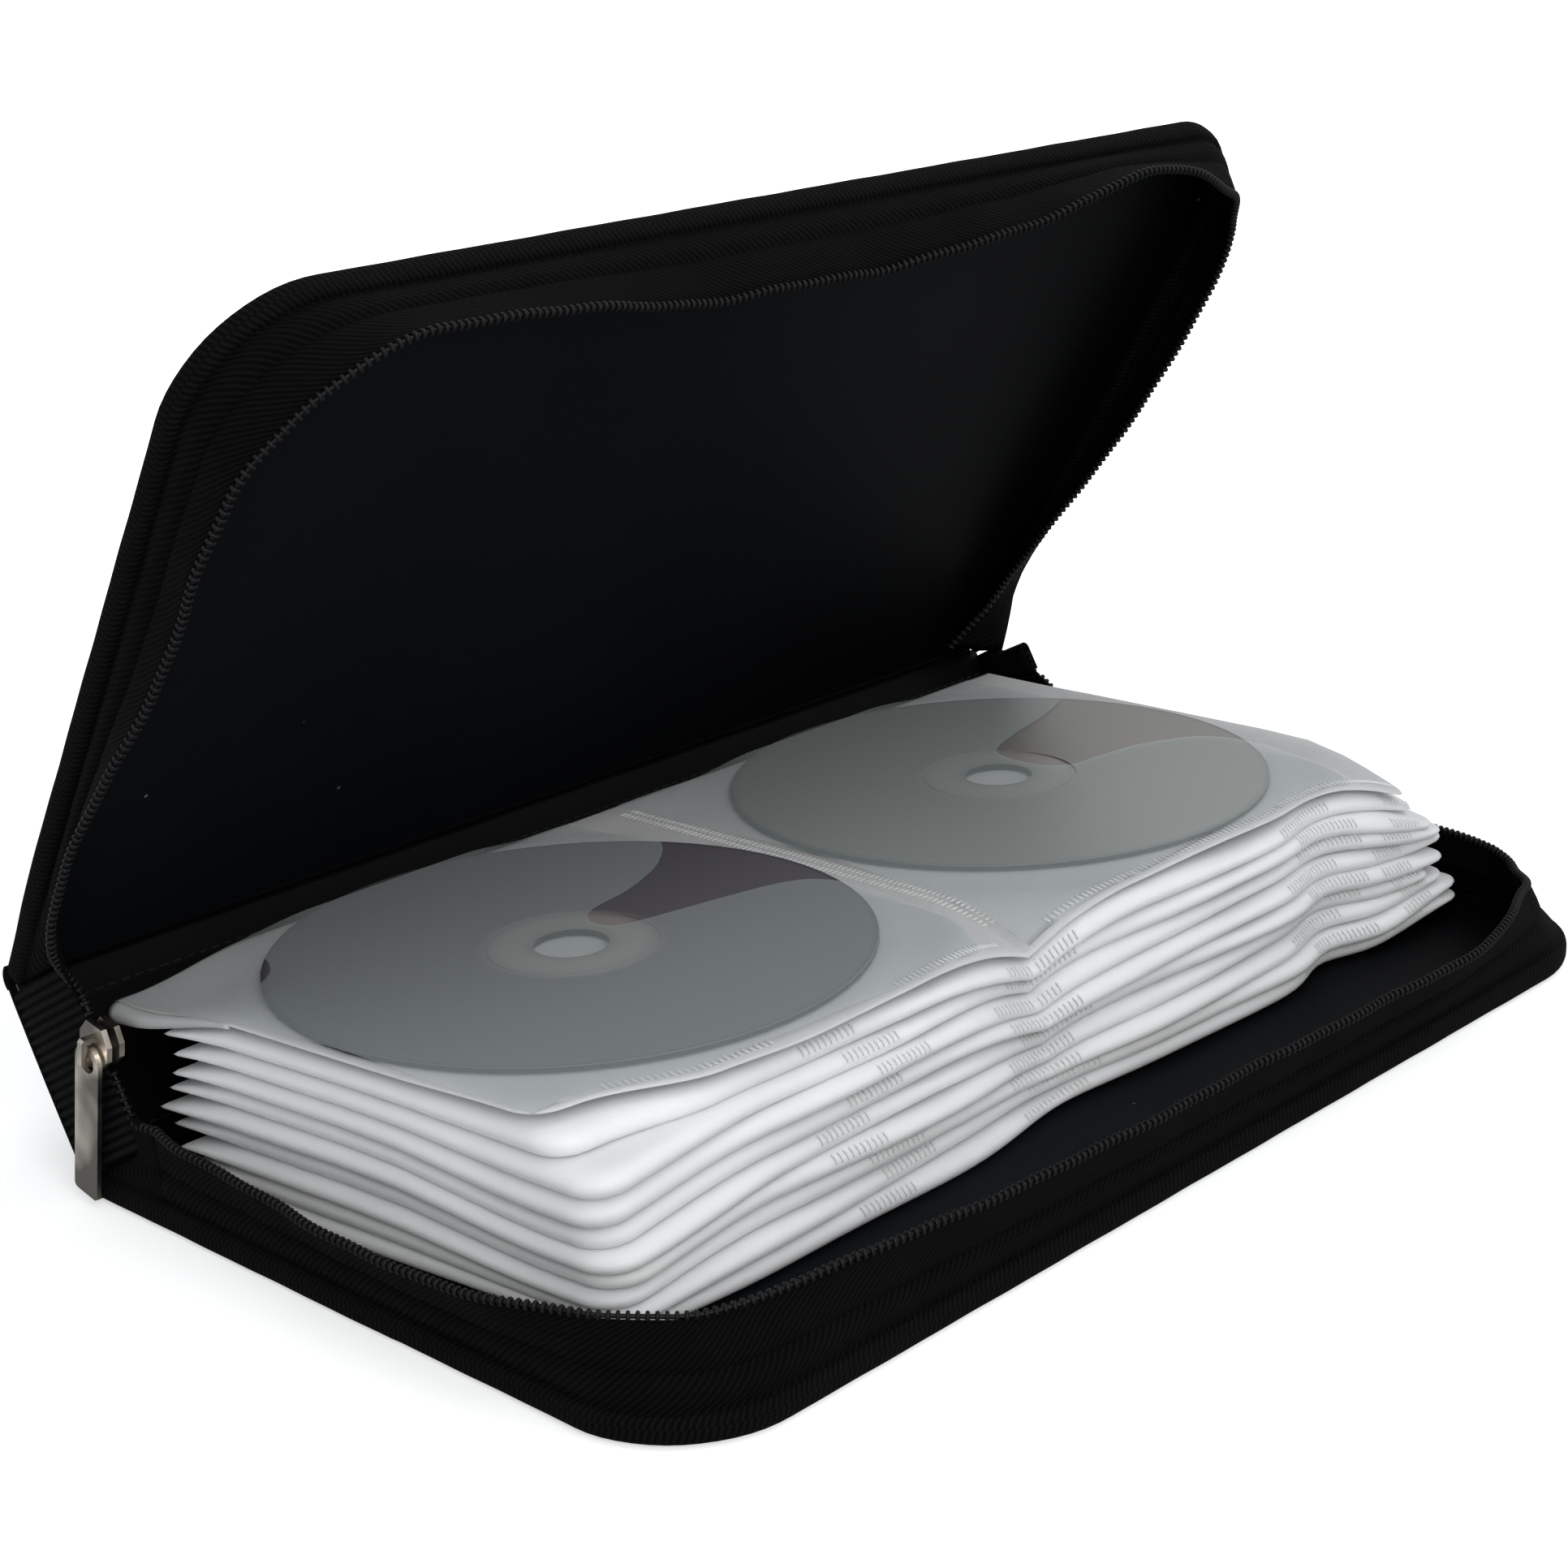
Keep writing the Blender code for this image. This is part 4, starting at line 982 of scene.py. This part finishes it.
def leaf_thickness(k, x, y, edge):
    """Half thickness at a point that far from the edge: round at the edge, thin at the spine."""
    left, right, rear, _ = leaf_bounds(k)
    full = 4.55 * (0.28 + 0.72 * eased((rear - y) / 24.0))
    full *= 0.35 + 0.65 * eased((right - x) / 20.0)
    full *= 1.0 - 0.2 * bell((x - SEAM_X) / 11.0) - leaf_drop(x, y) / 44.0
    full *= 0.96 + 0.04 * sin(k * 2.3 + x / 21.0)
    full *= 1.0 - 0.36 * cos(pi * k / LEAVES) * corner_fan(x, y)
    slack = bell((x + 36.0 + 6.0 * sin(k * 2.2)) / 17.0)
    slack += bell((x - 58.0 + 6.0 * sin(k * 3.1)) / 16.0)
    full *= 1.0 - 0.32 * slack * eased((k - 1.0) / 3.0) * eased((30.0 - y) / 40.0)
    share = min(1.0, edge / (0.75 * full))
    return 0.5 * full * sqrt(max(0.0, 1.0 - (1.0 - share) ** 2))


def leaf_spot(k, x, y, above=0.0):
    """A point of a leaf's middle, or that far above it, from its place in the flat plan."""
    x_new, y_new = askew(k, x, y)
    return Vector((x_new, y_new, leaf_height(k, x_new, y_new) + above)) * MM


def pillow(name, middle, half):
    """Closed leaf from rows of middle points and half thicknesses, which end at its edge."""
    rows, count = len(middle), len(middle[0])
    points = []
    for spots, halves in zip(middle, half):
        points += [tuple(spot + Vector((0.0, 0.0, h))) for spot, h in zip(spots, halves)]
    under = {}
    for r in range(rows):
        for c in range(count):
            under[r, c] = r * count + c
            if 0 < r < rows - 1 and 0 < c < count - 1:
                under[r, c] = len(points)
                points.append(tuple(middle[r][c] - Vector((0.0, 0.0, half[r][c]))))
    faces = []
    for r in range(rows - 1):
        for c in range(count - 1):
            a, b = r * count + c, (r + 1) * count + c
            faces.append((a, a + 1, b + 1, b))
            faces.append((under[r, c], under[r + 1, c], under[r + 1, c + 1], under[r, c + 1]))
    mesh = bpy.data.meshes.new(name)
    mesh.from_pydata(points, [], faces)
    return mesh


def white_finish(name, colour, roughness, grain, depth):
    """White film or nonwoven: light sinks in a little, and fibres give it a fine grain."""
    made, tree, shader = new_finish(name, {
        "Roughness": roughness, "Specular IOR Level": 0.3, "Subsurface Weight": 0.7,
        "Subsurface Radius": (1.0, 1.0, 1.0), "Subsurface Scale": 7.0 * MM})
    place = place_in(tree)
    tint = ramp(tree, noise(tree, place, 45.0, 5.0), (0.3, [c * 0.93 for c in colour]), (0.7, colour))
    fibres = bump(tree, noise(tree, place, grain, 4.0), depth, 0.2 * MM)
    feed(tree, shader, {"Normal": fibres, "Base Color": tint})
    return made


fine_edge = (0.0, 0.12, 0.4, 0.85, 1.5, 2.6, 4.5, 7.0, 11.0)
fine_front = (0.0, 0.0011, 0.0036, 0.0075, 0.013, 0.022, 0.038, 0.07, 0.12, 0.2, 0.3, 0.42, 0.56,
              0.7, 0.84, 0.94, 0.99, 1.0)


def leaf_grid(k, columns):
    """Rows of (x, y, distance from the edge) over a leaf, closer together by its edges."""
    left, right, _, _ = leaf_bounds(k)
    inner_left, inner_right = left + fine_edge[-1], right - fine_edge[-1]
    places = [left + e for e in fine_edge]
    places += spread(inner_left, inner_right, columns)[1:-1]
    places += [right - e for e in reversed(fine_edge)]
    return [[(x, *leaf_places(k, x, inset)) for x in places] for inset in fine_front]


milky = white_finish("milky_sleeve", (0.85, 0.86, 0.88), 0.5, 600.0, 0.12)
for k in range(LEAVES):
    middle, half = [], []
    for line in leaf_grid(k, 72):
        middle.append([leaf_spot(k, x, y) for x, y, _ in line])
        half.append([leaf_thickness(k, x, y, edge) * MM for x, y, edge in line])
    name = "sleeve_leaf_%02d" % (k + 1)
    piece = put_piece(name, pillow(name, middle, half), milky)
    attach(piece, "lower_cover")
    if k == 0:
        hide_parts("sleeve_block")


# ---------------------------------------------------------------------------------------
# Top leaf: the white nonwoven backing with both discs on it. A disc's printed face is plain
# grey and clear round the hole; painted shade darkens it at the rear and lightens it at the front.
# ---------------------------------------------------------------------------------------

nonwoven = white_finish("white_nonwoven", (0.64, 0.64, 0.645), 0.8, 1500.0, 0.5)
middle, half = [], []
for line in leaf_grid(LEAVES, 96):
    middle.append([leaf_spot(LEAVES, x, y) for x, y, _ in line])
    half.append([0.28 * MM * min(1.0, edge / 0.3) for _, _, edge in line])
top_leaf = put_piece("top_leaf", pillow("top_leaf", middle, half), nonwoven)
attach(top_leaf, "lower_cover")
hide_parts("top_leaf_sheet")

rows = []
for share in spread(0.0, 1.0, 24):
    radius = 2.1 * (1.0 - 0.85 * share)
    edge = leaf_spot(LEAVES, LEAF_LEFT, 79.5 - 34.0 * share, 0.1 - radius)
    rows.append([edge + Vector((cos(radians(turn)), 0.0, sin(radians(turn)))) * radius * MM
                 for turn in spread(80.0, 330.0, 14)])
piece = cloth_piece("leaf_roll", rows, [k * 1.4 * MM for k in range(25)],
                    [c * 0.5 * MM for c in range(15)], milky, 0.25 * MM)
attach(piece, "lower_cover")


def disc_finish(name, centre, face, clear, shade):
    """Plain print with a clear ring round the hole, with painted shade from the rear to the front."""
    made, tree, shader = new_finish(name, {"Roughness": 0.36, "Specular IOR Level": 0.3})
    offset = node(tree, "ShaderNodeVectorMath", {0: place_in(tree), 1: centre}, operation="SUBTRACT")
    flat = node(tree, "ShaderNodeVectorMath", {0: offset, 1: (1 / DISC_RADIUS, 1 / DISC_RADIUS, 0.0)},
                operation="MULTIPLY")
    length = node(tree, "ShaderNodeVectorMath", {0: flat}, operation="LENGTH")
    reach = length.outputs["Value"]
    # The ramp is darker just by the hole and at the outer rim.
    zones = ramp(tree, reach, (0.135, [c * 0.8 for c in clear]), (0.16, clear), (0.235, clear),
                 (0.315, face), (0.975, face), (0.995, [c * 0.55 for c in face]))
    parts = node(tree, "ShaderNodeSeparateXYZ", {0: flat})
    # Painted shade: the face is scaled darker towards the rear and lighter towards the front.
    lit = scaled(tree, zones, ranged(tree, parts.outputs["Y"], *shade, 1.0, -1.0))
    # Painted shade: where the surface does not face up outside the printed band, on the hole's wall and
    # the disc's edge, it is painted near black.
    normal = node(tree, "ShaderNodeNewGeometry").outputs["Normal"]
    upright = node(tree, "ShaderNodeSeparateXYZ", {0: normal}).outputs["Z"]
    shown = maths(tree, "MAXIMUM", maths(tree, "GREATER_THAN", upright, 0.4),
                  maths(tree, "COMPARE", reach, 0.57, 0.41))
    feed(tree, shader, {"Base Color": mixed(tree, shown, (0.008, 0.008, 0.012, 1.0), lit)})
    return made


for name, face, clear, shade in (
        ("disc_left", (0.105, 0.098, 0.110), (0.250, 0.228, 0.22), (0.85, 1.45)),
        ("disc_right", (0.205, 0.196, 0.184), (0.30, 0.285, 0.27), (0.62, 1.05))):
    low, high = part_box(name)
    centre = tuple((a + b) / 2 for a, b in zip(low, high))
    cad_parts[name].material_slots[0].material = disc_finish(name + "_face", centre, face,
                                                                  clear, shade)


# ---------------------------------------------------------------------------------------
# Pocket films: clear film over each disc, laid on the sheet round it. Its free edge stops at
# the disc's right rim, with rounded corners beside the notch that runs in to the hub.
# ---------------------------------------------------------------------------------------

def smooth_line(points, steps):
    """Catmull-Rom curve through points, with steps pieces between two of them."""
    line = []
    for k in range(len(points) - 1):
        a, b, c, d = (Vector(points[min(max(k + n, 0), len(points) - 1)]) for n in (-1, 0, 1, 2))
        for n in range(steps):
            t = n / steps
            line.append(0.5 * (2 * b + (c - a) * t + (2 * a - 5 * b + 4 * c - d) * t * t
                               + (3 * b - a - 3 * c + d) * t ** 3))
    line.append(Vector(points[-1]))
    return line


clear_film = new_finish("clear_film", {"Base Color": (0.55, 0.62, 0.62, 1.0), "Roughness": 0.42,
                                       "Specular IOR Level": 0.4, "Alpha": 0.32})[0]
FILM_EDGES = {
    "left": ((50.0, 57.5), (51.5, 45.0), (52.5, 35.0), (51.6, 29.5), (48.5, 25.0), (43.8, 20.9),
             (37.6, 16.8), (26.2, 12.2), (14.5, 9.8), (9.8, 5.4), (11.0, -0.6), (18.0, -3.0),
             (28.9, -5.3), (44.0, -8.8), (51.5, -12.0), (55.2, -17.0), (56.8, -25.3),
             (57.6, -36.0), (56.7, -49.7), (52.0, -59.0), (46.1, -64.5)),
    "right": ((56.0, 57.5), (57.3, 45.0), (57.6, 36.0), (56.0, 29.0), (51.0, 24.0), (39.5, 19.4),
              (25.2, 16.0), (13.0, 11.4), (9.6, 4.0), (10.5, -5.5), (15.0, -9.6), (24.0, -10.8),
              (33.8, -12.6), (42.9, -16.8), (48.8, -22.5), (51.0, -32.7), (51.6, -45.0),
              (48.5, -57.0), (44.0, -64.5))}
film_left = {"left": -136.6, "right": -4.9}
FILM_HEIGHT = 43.3
for side, spot in (("left", DISC_SPOTS[0]), ("right", DISC_SPOTS[1])):
    rows, along = [], []
    for corner in smooth_line(FILM_EDGES[side], 4):
        row = []
        for x in spread(film_left[side], spot[0] + corner.x, 60):
            x, y = askew(LEAVES, x, max(spot[1] + corner.y, leaf_front(LEAVES, x) + 1.2))
            away = dist((x, y), spot)
            lift = 1.75 * (1.0 - eased((away - 60.5) / 9.0))
            wrinkle = 0.10 * sin(x / 6.0 + y / 11.0) * eased((away - 62.0) / 12.0)
            row.append(Vector((x, y, FILM_HEIGHT + 0.86 * lift + wrinkle - leaf_drop(x, y))) * MM)
        rows.append(row)
        along.append(y * MM)
    name = "pocket_film_" + side
    mesh = skin(name + "_sheet", rows, along, [2.0 * c * MM for c in range(61)])
    piece = put_piece(name + "_sheet", mesh, clear_film)
    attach(piece, "lower_cover")
    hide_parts(name)


# ---------------------------------------------------------------------------------------
# Weld marks and stitches: short raised bars along a line. Two rows of them join the pockets
# between the discs, others close the leaves' edges, and thread holds the spine's ridges.
# ---------------------------------------------------------------------------------------

def bar_tree():
    """Bars set along a line at a pitch, each pointing along the line's across attribute."""
    tree, given, _, places = start_tree("bar_row", ("Pitch", "Length", "Width"))
    bar = node(tree, "GeometryNodeMeshIcoSphere", {"Radius": 0.5, "Subdivisions": 2})
    across = node(tree, "GeometryNodeInputNamedAttribute", {"Name": "across"},
                  data_type="FLOAT_VECTOR")
    facing = node(tree, "FunctionNodeAlignEulerToVector", {"Vector": across.outputs["Attribute"]},
                  axis="X")
    scale = node(tree, "ShaderNodeCombineXYZ",
                 {"X": given["Length"], "Y": given["Width"], "Z": given["Width"]})
    bars = node(tree, "GeometryNodeInstanceOnPoints",
                {"Points": places, "Instance": bar, "Rotation": facing, "Scale": scale})
    return end_tree(tree, given, bars)


bar_row = bar_tree()
BAR_WIDTH = 0.5 * MM


def bars_on(name, lines, pitch, length, finish, body):
    """Rows of bars. Each line is a list of (point, direction of a bar)."""
    points, edges, ways = [], [], []
    for line in lines:
        start = len(points)
        points += [tuple(point) for point, _ in line]
        ways += [tuple(way) for _, way in line]
        edges += [(start + k, start + k + 1) for k in range(len(line) - 1)]
    mesh = bpy.data.meshes.new(name)
    mesh.from_pydata(points, edges, [])
    layer = mesh.attributes.new("across", "FLOAT_VECTOR", "POINT")
    for item, way in zip(layer.data, ways):
        item.vector = way
    piece = grown(linked(name, mesh), bar_row, {
        "Pitch": pitch, "Length": length, "Width": BAR_WIDTH, "Finish": finish})
    piece.data.shade_smooth()
    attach(piece, body)
    return piece


weld_white = white_finish("weld_white", (0.97, 0.97, 0.98), 0.4, 900.0, 0.1)
seam_rows = []
for x in (SEAM_X - 1.5, SEAM_X + 1.5):
    seam_rows.append([(Vector((x, y, SEAM_HEIGHT - leaf_drop(x, y))) * MM, (1.0, 0.0, 0.0))
                      for y in spread(74.0, -30.0, 59)])
bars_on("pocket_seam", seam_rows, 1.3 * MM, 2.3 * MM, weld_white, "lower_cover")

edge_rows = []
for low, high in ((-120.0, -82.0), (-46.0, -14.0), (2.0, 120.0)):
    edge_rows.append([(leaf_spot(LEAVES, x, leaf_front(LEAVES, x) + 3.0, 0.6), (0.0, 1.0, 0.12))
                      for x in spread(low, high, round((high - low) / 3))])
for k in range(LEAVES):
    for middle_x, reach in ((SEAM_X + 4 * sin(k * 1.9), 10.0),
                            (-60.0 + 9 * sin(k * 1.3), 7.0),
                            (88.0 + 5 * sin(k * 2.2), 10.0), (115.0 + 4 * sin(k), 5.0)):
        line = []
        for x in spread(middle_x - reach, middle_x + reach, 12):
            y = leaf_front(k, x) + 0.75
            rise = leaf_thickness(k, x, y, 0.75)
            line.append((leaf_spot(k, x, y, 0.9 * rise), (0.0, 0.62, 0.78)))
        edge_rows.append(line)
bars_on("edge_welds", edge_rows, 1.35 * MM, 2.4 * MM, weld_white, "lower_cover")

thread_black = plain_finish("black_thread", (0.010, 0.010, 0.011), 0.6, 0.15)
ridge_rows = []
for height in RIDGES:
    ridge_rows.append([(on_spine(x, -0.15, height), (1.0, 0.0, 0.0))
                       for x in spread(-0.141, 0.141, 90)])
bars_on("ridge_stitches", ridge_rows, 3.1 * MM, 2.4 * MM, thread_black, "spine")


# ---------------------------------------------------------------------------------------
# Slider and pull: cast zinc, plated in satin nickel with a brushed grain. The shield plates
# hold the gusset's edge, and the flat pull with its round eye hangs in the bridge.
# ---------------------------------------------------------------------------------------

def nickel_finish():
    made = plain_finish("satin_nickel", (0.60, 0.55, 0.48), 0.34, 0.5, 1.0)
    tree = made.node_tree
    place = place_in(tree)
    tone = ramp(tree, noise(tree, place, 85.0, 1.0), (0.40, (0.15, 0.138, 0.12)),
                (0.58, (0.62, 0.565, 0.49)))
    drawn = node(tree, "ShaderNodeMapping", {"Vector": place, "Scale": (1.0, 1.0, 0.03)})
    brushed = bump(tree, noise(tree, drawn, 5000.0, 2.0), 0.25, 0.02 * MM)
    feed(tree, tree.nodes["Principled BSDF"], {"Base Color": tone, "Normal": brushed})
    return made


nickel = nickel_finish()
for name in ("zip_slider", "zip_pull_tab"):
    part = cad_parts[name]
    part.material_slots[0].material = nickel
    soft = part.modifiers.new("soft_edges", "BEVEL")
    soft.width = 0.22 * MM
    soft.segments = 2
    soft.limit_method = "ANGLE"
    soft.angle_limit = radians(40)
